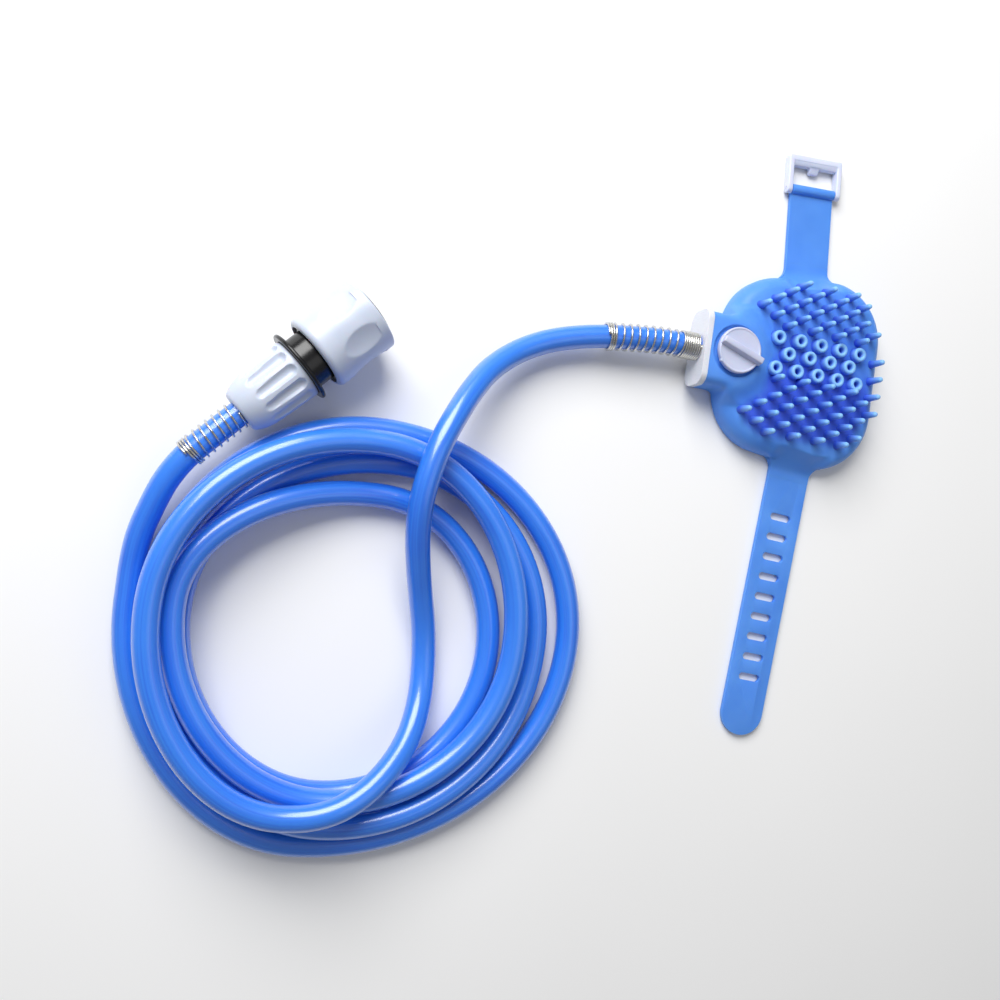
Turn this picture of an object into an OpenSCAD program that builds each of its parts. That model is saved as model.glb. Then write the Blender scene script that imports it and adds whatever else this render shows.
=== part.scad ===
// Palm-worn bath sprayer: a soft scrubbing pad with a water valve, two wrist straps
// and a buckle, fed by a coiled hose with a push-on tap connector.
// Origin: middle of the pad's palm face. +X away from the hose inlet, +Y to the buckle,
// +Z to the bristles. The hose and the connector lie on the palm face's plane, z = 0.

/* [Pad] */
// Radius of the two pad corners beside the valve neck
near_corner_r = 29.5; // [28.5:0.5:32]
// Radius of the two pad corners at the far end
far_corner_r = 30; // [27:0.5:31]
// Height of the dome over the palm face
dome_h = 17; // [16:0.5:18.5]
// Height at which the rounded edge of the pad begins
side_h = 5; // [4:0.5:6]
// Radius of the rounded edge
edge_r = 8.5; // [7.5:0.5:9]
// Thickness of the soft wall
wall = 3; // [2.5:0.5:3.5]
// Thickness of the palm panel
panel_t = 2.4; // [2:0.2:3]

/* [Rubbing face] */
// Radius of a rubbing nub at its root
nub_root_r = 1.9; // [1.6:0.1:2.1]
// Radius of a rubbing nub at its tip
nub_tip_r = 1.35; // [1.1:0.05:1.6]
// Height of a nub above the dome
nub_h = 9.4; // [7:0.2:10.6]
// Distance between nubs in one row
nub_pitch = 13.7; // [12:0.1:15]
// Distance between two rows of nubs
nub_row = 4.35; // [4:0.05:5]
// Outward lean of the nubs at the edge of the pad, in degrees
nub_lean = 2; // [0:1:8]
// Outer radius of a spray ring
ring_r = 3.5; // [3:0.1:3.8]
// Radius of the jet hole in a spray ring
jet_r = 1.5; // [1:0.1:1.8]
// Height of a spray ring above the dome
ring_h = 4.4; // [3:0.2:5.5]
// Distance between spray rings in one row
ring_pitch = 11.4; // [10.8:0.1:12]

/* [Straps] */
// Thickness of both straps
strap_t = 2.2; // [1.8:0.1:2.4]
// Width of the long strap
long_w = 22.4; // [20:0.2:24]
// Length of the long strap past the pad
long_l = 142; // [134:1:150]
// Width of the short strap
short_w = 23.8; // [22:0.2:24]
// Length of one strap slot
slot_l = 11.6; // [10:0.2:13]
// Width of one strap slot
slot_w = 3.6; // [3:0.1:4.4]
// Distance between strap slots
slot_pitch = 10.2; // [9:0.1:11]

/* [Valve and knob] */
// Width of the valve neck
neck_w = 35; // [34:1:38]
// Height of the valve neck
neck_h = 20; // [19.5:0.5:21]
// Radius of the knob
knob_r = 11; // [10:0.5:12]
// Thickness of the knob's disc
knob_t = 3; // [2.4:0.2:3.6]
// Height of the grip bar over the disc
bar_h = 3; // [2:0.2:4]
// Radius of the turning plug
plug_r = 7.95; // [7:0.05:8.5]
// Radius of the water way
water_r = 3; // [2:0.25:3.25]

/* [Inlet] */
// Width of the inlet plate
plate_w = 37; // [35:0.5:39]
// Height of the inlet plate
plate_h = 18.8; // [18:0.2:20]
// Thickness of the inlet plate
plate_t = 3; // [2.5:0.25:4]

/* [Buckle] */
// Width of the buckle
buckle_w = 30; // [29.8:0.2:31]
// Thickness of the buckle
buckle_t = 4.8; // [4.6:0.2:5.4]
// Length of the buckle from the pin to the far edge
buckle_l = 17; // [16:0.5:18.5]
// Width of the tooth
tooth_w = 5; // [4:0.25:6.5]
// Radius of the buckle pin
pin_r = 1; // [0.8:0.05:1.1]

/* [Hose and springs] */
// Radius of the hose
hose_r = 5.5; // [5:0.1:5.6]
// Radius of the hose bore
hose_bore_r = 4; // [3.5:0.1:4.2]
// Radius of the spring wire
wire_r = 0.5; // [0.4:0.05:0.55]

/* [Connector] */
// Radius of the clamp nut's barrel at its front
nut_r = 13.7; // [13:0.1:14.5]
// Depth of the nut's finger flutes
flute_d = 1.2; // [0.6:0.1:1.4]
// Radius of the core's flange
flange_r = 16.5; // [15.5:0.25:17]
// Radius of the release sleeve
sleeve_r = 17.3; // [16.8:0.1:17.4]
// Depth of the thumb dimples in the sleeve
dimple_d = 1.25; // [0.6:0.05:1.4]
// Radius of the bore that seals on the tap fitting
socket_r = 8; // [7.5:0.25:8.2]
// Travel of the release sleeve
sleeve_travel = 4; // [3:0.25:4]

/* [Hidden] */
$fn = 48;

SOFT_BLUE = [0.25, 0.52, 0.90];
HOSE_BLUE = [0.24, 0.50, 0.90];
PALE = [0.90, 0.90, 0.95];
BLACK = [0.06, 0.06, 0.07];
STEEL = [0.78, 0.77, 0.74];

run_gap = 0.05;      // between a turning piece and its bearing
free_gap = 0.3;      // between pieces that slide past each other
seat_gap = 0.02;     // between pieces that are fixed together
past = 1;            // how far a cutting shape runs past a face

// pad outline: x, y and radius of each corner
near_x = -12.5;
near_y = 14.5;
far_x = 14.5;
far_y = 18;
CORNERS = [[near_x, near_y, near_corner_r], [near_x, -near_y, near_corner_r],
           [far_x, far_y, far_corner_r], [far_x, -far_y, far_corner_r]];
// dome rings: radius and drop below the crown
CROWN = [[10, 0], [24, 1.1], [34, 2.4]];
crown_fall = CROWN[2][1] / pow(CROWN[2][0], 2);
arc_step = 15;
round_fn = 64;

// spray rings: x of the first ring, y, number of rings
RING_ROWS = [[-18.5, 11, 5], [-12.5, 3.6, 4], [-18.5, -4, 5]];
ring_lip = (ring_r - jet_r) / 2;
// nub field: rows counted from the middle; shifts of the even and the odd rows, below
// the first upper row and from there on
NUB_ROWS = [-8:9];
first_upper = 4;
LOWER_SHIFT = [-3.3, 3.6];
UPPER_SHIFT = [-0.2, 6.7];
nub_mid_y = 0.1;
nub_field_r = 44.3;
nub_field_x = 39;
// box of the spray rings that the nubs keep clear of
RING_BOX = [[-24, 33], [-8.5, 14.5]];
root_skin = 0.5;
nub_root = wall - root_skin;

// neck, valve and knob
neck_x = -54;
neck_edge = 5;
neck_r = 15.5;
neck_foot_r = 17.5;
neck_foot_h = 17;
web_x = -22;
web_y = 12;
web_r = 15;
web_edge = 8;
valve_x = -40.2;
bore_z = 11;
housing_w = 26;
housing_top = 17.2;
housing_end = -29.5;
collar_r = 9.5;
floor_z = 4.2;
floor_t = 1.8;
plug_top = 19.6;
stub_r = 3;
stub_z = 2.75;
clip_t = 0.8;
clip_z = 3.1;
clip_r = 5;
clip_bite = 0.5;
clip_room = 6;
clip_mouth = 4.4;
stem_r = 4;
stem_cut = 3;
stem_top = 24.4;
socket_deep = 24.6;
knob_gap = 0.3;
knob_z = neck_h + knob_gap;
knob_edge = 0.9;
knob_turn = -19;
bar_low_w = 4.4;
bar_top_w = 2.9;
bar_from = -10.6;
bar_to = 11.8;
bar_root = 1.6;
nib_r = 1.1;
nib_h = 0.7;
nib_out = 8.6;
nib_at = -136;
oring_r = 0.9;
oring_z = 17.2;

// inlet plate, spigot and barb
plate_edge = 6;
spigot_r = 5;
spigot_l = 4.6;
seal_x = 2.5;
seal_r = 0.8;
seal_bite = 0.03;
barb_l = 12;
barb_r = 3.5;
barb_tip_r = 3.1;
BARB_STEPS = [2.5, 6, 9.5];
barb_step_l = 2.5;
barb_water_r = 2.4;

// straps
short_x = 2.1;
short_root_y = 43;
short_turn = 4.2;
short_flare = 7;
long_x = 7.4;
long_root_y = -43;
long_turn = -4;
first_slot = 31.4;
slots = 9;
long_flare = 6;
strap_under = 2.6;

// buckle
pin_y = 49.4;
pin_z = buckle_t / 2;
arm_w = 2.7;
bar_l = 3.2;
ledge_l = 1.2;
ledge_t = 3.4;
tooth_l = 3.7;
tooth_t = 2.6;
tooth_edge = 0.9;
buckle_edge = 1.2;
hem_gap = 0.06;
arm_gap = 0.4;       // between the strap's hem and a buckle arm
hem_w = buckle_w - 2 * (arm_w + arm_gap);
hem_l = pin_z + 1;   // the strap has the hem's width from here to the pin

// hose route: free stretch from the sprayer, quarter points of the coil, free stretch
// to the connector
LEAD = [[-57, 0, 11], [-70, -0.1, 11], [-80, -0.7, 10.8], [-92, -2, 10.4],
        [-105, -3.8, 9.8], [-119, -7, 9.2], [-133, -12, 9.4], [-146.5, -20, 11.4],
        [-158, -30.5, 16], [-166, -42, 21.8], [-172.3, -54, 27], [-177.5, -66.5, 30.2],
        [-181, -80, 31], [-182.5, -94, 29.3], [-181.3, -108, 24.9], [-178, -121.5, 18.9],
        [-173.7, -135, 12.2], [-169.5, -149, 7.3], [-167, -163.5, 5.7], [-166.6, -178, 8],
        [-168.8, -191, 13.2], [-173.2, -201.5, 18.9], [-179.8, -210.8, 24.2],
        [-188, -219.1, 28.2], [-198, -226, 30.2], [-209, -230.1, 30.3], [-221, -231.5, 30]];
LEAD_OUT = [-13, 0, 0];
COIL = [[-221, -231.5, 30], [-285.5, -150, 28.4], [-200, -71, 18], [-129, -152, 17.5],
        [-205, -227, 18], [-276.8, -149, 20.2], [-196, -93.5, 5.5], [-138, -158.5, 5.5],
        [-207, -227, 5.5], [-275, -152, 5.5], [-190, -78, 5.5], [-116, -153, 6],
        [-204, -239, 13.5], [-285.6, -152, 12.2], [-197, -64.4, 5.5], [-100, -151, 5.5],
        [-212, -249.5, 5.5], [-295.6, -150, 5.5]];
TAIL_OUT = [6.7, 7.4, 0];
COIL_HANDLE = [0.53, 0.55, 0.55, 0.55];
coil_fall = 1.8;
TAIL = [[-295.6, -150, 5.5], [-295.7, -136.5, 6.4], [-294.5, -124, 8.7],
        [-291.3, -112, 11.6], [-287.7, -101.8, 14.3], [-283.5, -93.8, 16.1],
        [-278.6, -86.8, 17.1], [-272.9, -80.3, 17.5], [-267.6, -74.3, 17.5],
        [-262.2, -68.4, 17.5], [-255.5, -61, 17.5], [-248.8, -53.5, 17.5]];
coil_sides = 6;
coil_rings = 6;
tube_sides = 10;
tube_rings = 2;

// springs: turns of the close, open and close stretches, and their pitches
spring_gap = 0.5;
turn_gap = 0.1;
coil_r = hose_r + wire_r + spring_gap;
close_pitch = 2 * wire_r + turn_gap;
SPRAYER_TURNS = [8, 9, 3];
sprayer_pitch = 3.8;
TAIL_TURNS = [0, 7, 3];
tail_pitch = 3.3;
wire_rings = 8;
wire_sides = 6;

// connector, measured along its own line from the nut's hose end
nut_at = [-262.2, -68.4, 17.5];
line_turn = 48.06;
line_dir = [cos(line_turn), sin(line_turn), 0];
nut_rear_r = 9.5;
nut_rear_l = 2;
nut_swell_l = 9;
nut_swell_step = 22.5;
nut_mid_r = 13;
nut_l = 31;
nut_hose_l = 4;
collet_from = 6;
collet_to = 18;
collet_r1 = 6.7;
collet_r2 = 8.4;
collet_slit = 1.2;
flute_r = 2.4;
flute_from = 12.5;
flute_to = 26;
flutes = 12;
barb_from = 8;
core_from = 20;
boss_r = 10.3;
flange_to = 32.8;
core_r = 12;
core_to = 58.3;
seat_from = 41;
seat_to = 43;
seat_r = 14.2;
socket_from = 47;
nose_to = 69.5;
nose_r = 13.8;
mouth_r = 9.3;
pocket_r1 = 10.2;
pocket_r2 = 12.6;
pocket_to = 66;
claw_from = 60.6;
claw_to = 65.2;
claw_w = 4.4;
claw_tip_r = 8.7;
claw_ring_from = 58.6;
claws = 4;
claw_gap = 0.3;
sleeve_back_gap = 3.2;
sleeve_from = flange_to + sleeve_travel + sleeve_back_gap;
sleeve_to = 70.2;
sleeve_rear_r = seat_r + free_gap;
ledge_from = 56;
ledge_to = 58;
sleeve_front_r = nose_r + free_gap;
sleeve_edge = 2.6;
sleeve_lip = 0.8;
dimple_ball = 34;
dimple_at = 56.5;
dimple_cut = 65.8;
dimples = 6;
release_r = 13.4;
release_wire = 0.55;
release_turns = 5;

// ---- shared helpers

// height of the dome's surface above the palm face
function dome_z(x, y) = dome_h - crown_fall * (x * x + y * y);

// smooth point between p1 and p2, with the neighbours p0 and p3
function smooth(p0, p1, p2, p3, t) =
    0.5 * (2 * p1 + (p2 - p0) * t + (2 * p0 - 5 * p1 + 4 * p2 - p3) * t * t
    + (3 * p1 - p0 - 3 * p2 + p3) * t * t * t);

// curve through the points of a free stretch, n steps between two points
function free_run(p, n, out) =
    let (all = concat([2 * p[0] - p[1]], p, [p[len(p) - 1] + out]))
    concat([for (i = [0:len(p) - 2], j = [0:n - 1])
               smooth(all[i], all[i + 1], all[i + 2], all[i + 3], j / n)],
           [p[len(p) - 1]]);

// a climb leaves a point slowly and a fall arrives slowly, so that turns keep clear
function ease(u) = let (v = pow(u, coil_fall)) v * v * (3 - 2 * v);
function level(a, b, u) = a + (b - a) * (b < a ? ease(u) : 1 - ease(1 - u));

// point u along the coil's quarter k, on a cubic that leaves and arrives square
function quarter(k, u) =
    let (a = COIL[k], b = COIL[k + 1], h = COIL_HANDLE[k % 4],
         c = k % 2 == 0 ? [b[0], a[1]] : [a[0], b[1]],
         a2 = [a[0], a[1]], b2 = [b[0], b[1]],
         p = a2 + h * (c - a2), q = b2 + h * (c - b2), v = 1 - u,
         f = v * v * v * a2 + 3 * v * v * u * p + 3 * v * u * u * q + u * u * u * b2)
    [f[0], f[1], level(a[2], b[2], u)];
function coil_run(n) =
    concat([for (k = [0:len(COIL) - 2], j = [0:n - 1]) quarter(k, j / n)],
           [COIL[len(COIL) - 1]]);

function unit(v) = v / norm(v);
function run_to(p, i) = i == 0 ? 0 : run_to(p, i - 1) + norm(p[i] - p[i - 1]);
function along(p, i) = unit(p[min(i + 1, len(p) - 1)] - p[max(i - 1, 0)]);

// section of a tube at point i: a ring of points square to the run, one point lowest
function tube_ring(p, i, r, sides, t) =
    let (side = unit(cross(t, [0, 0, 1])), lift = cross(side, t))
    [for (s = [0:sides - 1])
        let (a = 90 + 360 * s / sides) p[i] + r * (cos(a) * side + sin(a) * lift)];

// side faces of a tube of n rings, with both end caps
function tube_faces(n, sides) =
    concat([[for (s = [0:sides - 1]) s]],
           [for (i = [0:n - 2], s = [0:sides - 1])
               [i * sides + s, (i + 1) * sides + s,
                (i + 1) * sides + (s + 1) % sides, i * sides + (s + 1) % sides]],
           [[for (s = [sides - 1:-1:0]) (n - 1) * sides + s]]);

// round tube along p; the first and last sections face the given directions
module tube(p, r, sides, first, last) {
    n = len(p);
    rings = [for (i = [0:n - 1])
        each tube_ring(p, i, r, sides, i == 0 ? first : i == n - 1 ? last : along(p, i))];
    polyhedron(points = rings, faces = tube_faces(n, sides), convexity = 10);
}

// wire wound about the centre line p: turns holds close, open and close turns, and the
// wind starts at the distance start along p; rings sections to a turn
module wound(p, start, turns, pitch, r, w, rings) {
    n = len(p);
    run = [for (i = [0:n - 1]) run_to(p, i)];
    total = turns[0] + turns[1] + turns[2];
    steps = total * rings;
    wire = [for (i = [0:steps])
        let (k = i / rings,
             d = start + close_pitch * min(k, turns[0])
                 + pitch * max(0, min(k - turns[0], turns[1]))
                 + close_pitch * max(0, k - turns[0] - turns[1]),
             at = [for (m = [0:2]) lookup(d, [for (j = [0:n - 1]) [run[j], p[j][m]]])],
             fore = [for (m = [0:2]) lookup(d + 1, [for (j = [0:n - 1]) [run[j], p[j][m]]])],
             t = unit(fore - at), side = unit(cross(t, [0, 0, 1])), lift = cross(side, t),
             a = 90 + 360 * k, out = cos(a) * side + sin(a) * lift)
        each [for (s = [0:wire_sides - 1])
            let (b = 360 * s / wire_sides) at + (r + w * cos(b)) * out + w * sin(b) * t]];
    polyhedron(points = wire, faces = tube_faces(steps + 1, wire_sides), convexity = 10);
}

// prism along +X with a rounded rectangle section, round edges to +-Y
module rounded_plate(w, h, t, e) {
    rotate([90, 0, 90]) linear_extrude(t) rounded_rect(w, h, e);
}
module rounded_rect(w, h, e) {
    square([w - 2 * e, h], center = true);
    square([w, h - 2 * e], center = true);
    for (sx = [-1, 1], sy = [-1, 1])
        translate([sx * (w / 2 - e), sy * (h / 2 - e)]) circle(e);
}

// ring of round section lying flat
module oring(mid_r, r) {
    rotate_extrude() translate([mid_r, 0]) circle(r, $fn = 24);
}

// flat outline with two round ends, along Y
module stadium(l, w) {
    square([l - w, w], center = true);
    for (s = [-1, 1]) translate([s * (l - w) / 2, 0]) circle(w / 2);
}

// puts a piece on the connector's line: its +Z runs from the hose to the mouth
module on_line() {
    translate(nut_at) rotate([0, 0, line_turn]) rotate([0, 90, 0]) children();
}
module barrel(r, from, to) {
    translate([0, 0, from]) cylinder(r = r, h = to - from);
}
module taper(r1, r2, from, to) {
    translate([0, 0, from]) cylinder(r1 = r1, r2 = r2, h = to - from);
}

// disc on the connector's line with a half-round rim
module rimmed(r, from, to) {
    e = (to - from) / 2;
    rotate_extrude() translate([0, from]) {
        square([r - e, 2 * e]);
        translate([r - e, e]) circle(e);
    }
}

// hose barb along +Z: a plain stub with three sharp steps
module barb(l) {
    cylinder(r = barb_r, h = l);
    for (z = BARB_STEPS)
        translate([0, 0, z]) cylinder(r1 = hose_bore_r, r2 = barb_tip_r, h = barb_step_l);
}

// ---- pad

// upright disc with a rounded top edge that begins at the height h
module soft_disc(r, base, h, e) {
    rotate_extrude($fn = round_fn)
        polygon(concat([[0, base], [r, base]],
            [for (a = [0:arc_step:90]) [r - e + e * cos(a), h + e * sin(a)]],
            [[0, h + e]]));
}

// domed block with the pad's outline, all surfaces moved in by the inset
module pad_block(inset, base) {
    hull() {
        for (c = CORNERS)
            translate([c[0], c[1], 0]) soft_disc(c[2] - inset, base, side_h, edge_r - inset);
        for (d = CROWN)
            translate([0, 0, base]) cylinder(r = d[0], h = dome_h - d[1] - inset - base);
    }
}

module spray_ring() {
    rotate_extrude() {
        square([jet_r + ring_lip, ring_h + nub_root - ring_lip]);
        translate([jet_r, 0]) square([2 * ring_lip, ring_h + nub_root - ring_lip]);
        translate([jet_r + ring_lip, ring_h + nub_root - ring_lip]) circle(ring_lip);
    }
}
module at_rings() {
    for (row = RING_ROWS, i = [0:row[2] - 1])
        let (x = row[0] + i * ring_pitch, y = row[1])
            translate([x, y, dome_z(x, y) - nub_root]) children();
}

// true where a nub may stand: on the dome, clear of the spray rings and of the knob
function nub_here(x, y) =
    norm([x, y]) < nub_field_r && x < nub_field_x
    && !(x > RING_BOX[0][0] && x < RING_BOX[0][1] && y > RING_BOX[1][0] && y < RING_BOX[1][1])
    && norm([x - valve_x, y]) > 2 * knob_r + past;

module nub(lean) {
    rotate([0, lean, 0]) {
        cylinder(r1 = nub_root_r, r2 = nub_tip_r, h = nub_root + nub_h - nub_tip_r);
        translate([0, 0, nub_root + nub_h - nub_tip_r]) sphere(nub_tip_r, $fn = 24);
    }
}
module nubs() {
    for (k = NUB_ROWS, i = [-4:4])
        let (x = (k < first_upper ? LOWER_SHIFT : UPPER_SHIFT)[abs(k) % 2] + i * nub_pitch,
             y = nub_mid_y + k * nub_row, d = norm([x, y]))
            if (nub_here(x, y))
                translate([x, y, dome_z(x, y) - nub_root]) rotate([0, 0, atan2(y, x)])
                    nub(nub_lean * d / nub_field_r);
}

// neck that carries the valve: square at the inlet, round about the knob, and running
// out onto both sides of the pad
module neck_block() {
    difference() {
        hull() {
            for (sy = [-1, 1]) {
                translate([neck_x, sy * (neck_w / 2 - neck_edge), neck_h - neck_edge])
                    rotate([0, 90, 0]) cylinder(r = neck_edge, h = past);
                translate([neck_x, sy * (neck_w - neck_edge) / 2 - neck_edge / 2, 0])
                    cube([past, neck_edge, neck_h - neck_edge]);
                translate([web_x, sy * web_y, 0]) soft_disc(web_r, 0, side_h, web_edge);
            }
            translate([valve_x, 0, 0]) soft_disc(neck_r, 0, neck_h - neck_edge, neck_edge);
            translate([valve_x, 0, 0])
                soft_disc(neck_foot_r, 0, neck_foot_h - neck_edge, neck_edge);
        }
        translate([neck_x - neck_w, -neck_w, -past])
            cube([neck_w, 2 * neck_w, neck_h + 2 * past]);
    }
}

module housing_space(gap) {
    translate([neck_x - past, -housing_w / 2 - gap, panel_t - gap])
        cube([housing_end - neck_x + past + gap, housing_w + 2 * gap,
              housing_top - panel_t + 2 * gap]);
    translate([valve_x, 0, housing_top]) cylinder(r = collar_r + gap, h = neck_h);
}

module glove_shell() {
    color(SOFT_BLUE) difference() {
        union() {
            pad_block(0, 0);
            neck_block();
            nubs();
            at_rings() spray_ring();
        }
        pad_block(wall, panel_t);
        panel_body(seat_gap);
        housing_space(seat_gap);
        at_rings() translate([0, 0, -dome_h / 2]) cylinder(r = jet_r, h = dome_h);
    }
}

module panel_body(gap) {
    translate([0, 0, -gap]) linear_extrude(panel_t + 2 * gap) {
        for (c = CORNERS) translate([c[0], c[1]]) circle(c[2] - wall + gap);
        polygon([for (i = [0, 1, 3, 2]) [CORNERS[i][0], CORNERS[i][1]
            + sign(CORNERS[i][1]) * (CORNERS[i][2] - wall + gap)]]);
        square([2 * (far_x + far_corner_r - wall + gap), 2 * far_y], center = true);
    }
}
module palm_panel() {
    color(SOFT_BLUE) panel_body(0);
}

// ---- straps

module flare(r) {
    difference() {
        square(r);
        translate([r, r]) circle(r);
    }
}

// puts a piece on the short strap's line: its +Y runs from the pad to the buckle
module on_short() {
    translate([short_x, short_root_y, 0]) rotate([0, 0, short_turn]) children();
}

module short_strap() {
    color(SOFT_BLUE) difference() {
        on_short() {
            linear_extrude(strap_t) {
                polygon([[-short_w / 2, 0], [short_w / 2, 0],
                         [hem_w / 2, pin_y - hem_l], [hem_w / 2, pin_y],
                         [-hem_w / 2, pin_y], [-hem_w / 2, pin_y - hem_l]]);
                for (s = [0, 1]) mirror([s, 0]) translate([short_w / 2, strap_under])
                    flare(short_flare);
            }
            translate([-hem_w / 2, pin_y, pin_z]) rotate([0, 90, 0])
                cylinder(r = pin_z, h = hem_w);
        }
        pad_block(-seat_gap, -past);
        on_short() translate([-buckle_w / 2, pin_y, pin_z]) rotate([0, 90, 0])
            cylinder(r = pin_r + hem_gap, h = buckle_w);
    }
}

module long_strap() {
    color(SOFT_BLUE) difference() {
        translate([long_x, long_root_y, 0]) rotate([0, 0, long_turn])
            linear_extrude(strap_t) difference() {
                union() {
                    translate([-long_w / 2, long_w / 2 - long_l])
                        square([long_w, long_l - long_w / 2]);
                    translate([0, long_w / 2 - long_l]) circle(long_w / 2);
                    for (s = [0, 1]) mirror([s, 0]) translate([long_w / 2, -strap_under])
                        mirror([0, 1]) flare(long_flare);
                }
                for (i = [0:slots - 1])
                    translate([0, -first_slot - i * slot_pitch]) stadium(slot_l, slot_w);
            }
        pad_block(-seat_gap, -past);
    }
}

// ---- valve

module valve_housing() {
    color(PALE) difference() {
        union() {
            translate([neck_x, -housing_w / 2, panel_t])
                cube([housing_end - neck_x, housing_w, housing_top - panel_t]);
            translate([valve_x, 0, housing_top])
                cylinder(r = collar_r, h = neck_h - housing_top);
        }
        translate([valve_x, 0, floor_z + floor_t])
            cylinder(r = plug_r + run_gap, h = neck_h);
        translate([valve_x, 0, 0]) cylinder(r = stub_r + run_gap, h = neck_h);
        translate([valve_x, 0, 0]) cylinder(r = clip_room, h = floor_z);
        translate([neck_x - past, 0, bore_z]) rotate([0, 90, 0])
            cylinder(r = spigot_r + run_gap, h = spigot_l + past);
        translate([neck_x, 0, bore_z]) rotate([0, 90, 0])
            cylinder(r = water_r, h = housing_end - neck_x + past);
    }
}

module valve_plug() {
    color(PALE) translate([valve_x, 0, 0]) rotate([0, 0, knob_turn]) difference() {
        union() {
            translate([0, 0, floor_z + floor_t + run_gap])
                cylinder(r = plug_r, h = plug_top - floor_z - floor_t - run_gap);
            translate([0, 0, stub_z]) cylinder(r = stub_r, h = floor_z + floor_t);
            intersection() {
                cylinder(r = stem_r, h = stem_top);
                translate([-stem_r, -stem_cut, plug_top - past])
                    cube([2 * stem_r, 2 * stem_cut, stem_top]);
            }
        }
        translate([-plug_r - past, 0, bore_z]) rotate([0, 90, 0])
            cylinder(r = water_r, h = 2 * (plug_r + past));
        translate([0, 0, oring_z - oring_r - run_gap]) difference() {
            cylinder(r = plug_r + past, h = 2 * (oring_r + run_gap));
            cylinder(r = plug_r - 2 * oring_r, h = 2 * (oring_r + run_gap));
        }
        translate([0, 0, clip_z - run_gap]) difference() {
            cylinder(r = stub_r + past, h = clip_t + 2 * run_gap);
            cylinder(r = stub_r - clip_bite, h = clip_t + 2 * run_gap);
        }
    }
}

module plug_oring() {
    color(BLACK) translate([valve_x, 0, oring_z])
        oring(plug_r + run_gap - oring_r - seat_gap, oring_r);
}

module plug_clip() {
    color(STEEL) translate([valve_x, 0, clip_z]) difference() {
        cylinder(r = clip_r, h = clip_t);
        cylinder(r = stub_r - clip_bite + seat_gap, h = 3 * clip_t, center = true);
        translate([0, -clip_mouth / 2, -past]) cube([clip_r + past, clip_mouth, clip_t + 2 * past]);
    }
}

module knob() {
    color(PALE) translate([valve_x, 0, 0]) rotate([0, 0, knob_turn]) difference() {
        union() {
            translate([0, 0, knob_z]) cylinder(r = knob_r, h = knob_t - knob_edge);
            translate([0, 0, knob_z + knob_t - knob_edge])
                cylinder(r1 = knob_r, r2 = knob_r - knob_edge, h = knob_edge);
            translate([bar_from, 0, knob_z + knob_t]) rotate([90, 0, 90])
                linear_extrude(bar_to - bar_from)
                    polygon([[-bar_low_w / 2, -bar_root], [bar_low_w / 2, -bar_root],
                             [bar_low_w / 2, 0], [bar_top_w / 2, bar_h],
                             [-bar_top_w / 2, bar_h], [-bar_low_w / 2, 0]]);
            rotate([0, 0, nib_at - knob_turn]) translate([nib_out, 0, knob_z + past])
                cylinder(r = nib_r, h = knob_t - past + nib_h);
        }
        intersection() {
            cylinder(r = stem_r + seat_gap, h = socket_deep);
            translate([-knob_r, -stem_cut - seat_gap, 0])
                cube([2 * knob_r, 2 * (stem_cut + seat_gap), socket_deep]);
        }
    }
}

// ---- inlet

module inlet_plate() {
    mid_z = plate_h / 2 + past;
    color(PALE) difference() {
        union() {
            translate([neck_x - plate_t, 0, mid_z])
                rounded_plate(plate_w, plate_h, plate_t, plate_edge);
            translate([neck_x, 0, bore_z]) rotate([0, 90, 0])
                cylinder(r = spigot_r, h = spigot_l);
            translate([neck_x - plate_t, 0, bore_z]) rotate([0, -90, 0])
                intersection() {
                    barb(barb_l);
                    cylinder(r = hose_r, h = barb_l - past / 2);
                }
        }
        translate([neck_x - plate_t - barb_l, 0, bore_z]) rotate([0, 90, 0])
            cylinder(r = barb_water_r, h = barb_l + plate_t + spigot_l + past);
        translate([neck_x + seal_x - seal_r, 0, bore_z]) rotate([0, 90, 0]) difference() {
            cylinder(r = spigot_r + past, h = 2 * seal_r);
            cylinder(r = spigot_r - 2 * seal_r + seal_bite, h = 2 * seal_r);
        }
    }
}

module spigot_oring() {
    color(BLACK) translate([neck_x + seal_x, 0, bore_z]) rotate([0, 90, 0])
        oring(spigot_r - seal_r + seal_bite + seat_gap, seal_r - seat_gap);
}

// ---- buckle

module buckle_frame() {
    out = buckle_w / 2;
    ledge_y = buckle_l - bar_l - ledge_l;
    color(PALE) on_short() translate([0, pin_y, 0]) difference() {
        union() {
            linear_extrude(buckle_t) difference() {
                union() {
                    translate([-out, 0]) square([buckle_w, buckle_l - buckle_edge]);
                    translate([buckle_edge - out, 0])
                        square([buckle_w - 2 * buckle_edge, buckle_l]);
                    for (s = [-1, 1])
                        translate([s * (out - buckle_edge), buckle_l - buckle_edge])
                            circle(buckle_edge);
                }
                translate([arm_w - out, -past])
                    square([buckle_w - 2 * arm_w, buckle_l - bar_l + past]);
            }
            for (s = [-1, 1])
                translate([s * (out - arm_w / 2) - arm_w / 2, 0, pin_z])
                    rotate([0, 90, 0]) cylinder(r = pin_z, h = arm_w);
            translate([-out + past, ledge_y, 0])
                cube([buckle_w - 2 * past, ledge_l + past, ledge_t]);
            translate([0, ledge_y, ledge_t - tooth_t]) linear_extrude(tooth_t) tooth();
        }
        translate([-out - past, 0, pin_z]) rotate([0, 90, 0])
            cylinder(r = pin_r, h = buckle_w + 2 * past);
    }
}

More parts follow.
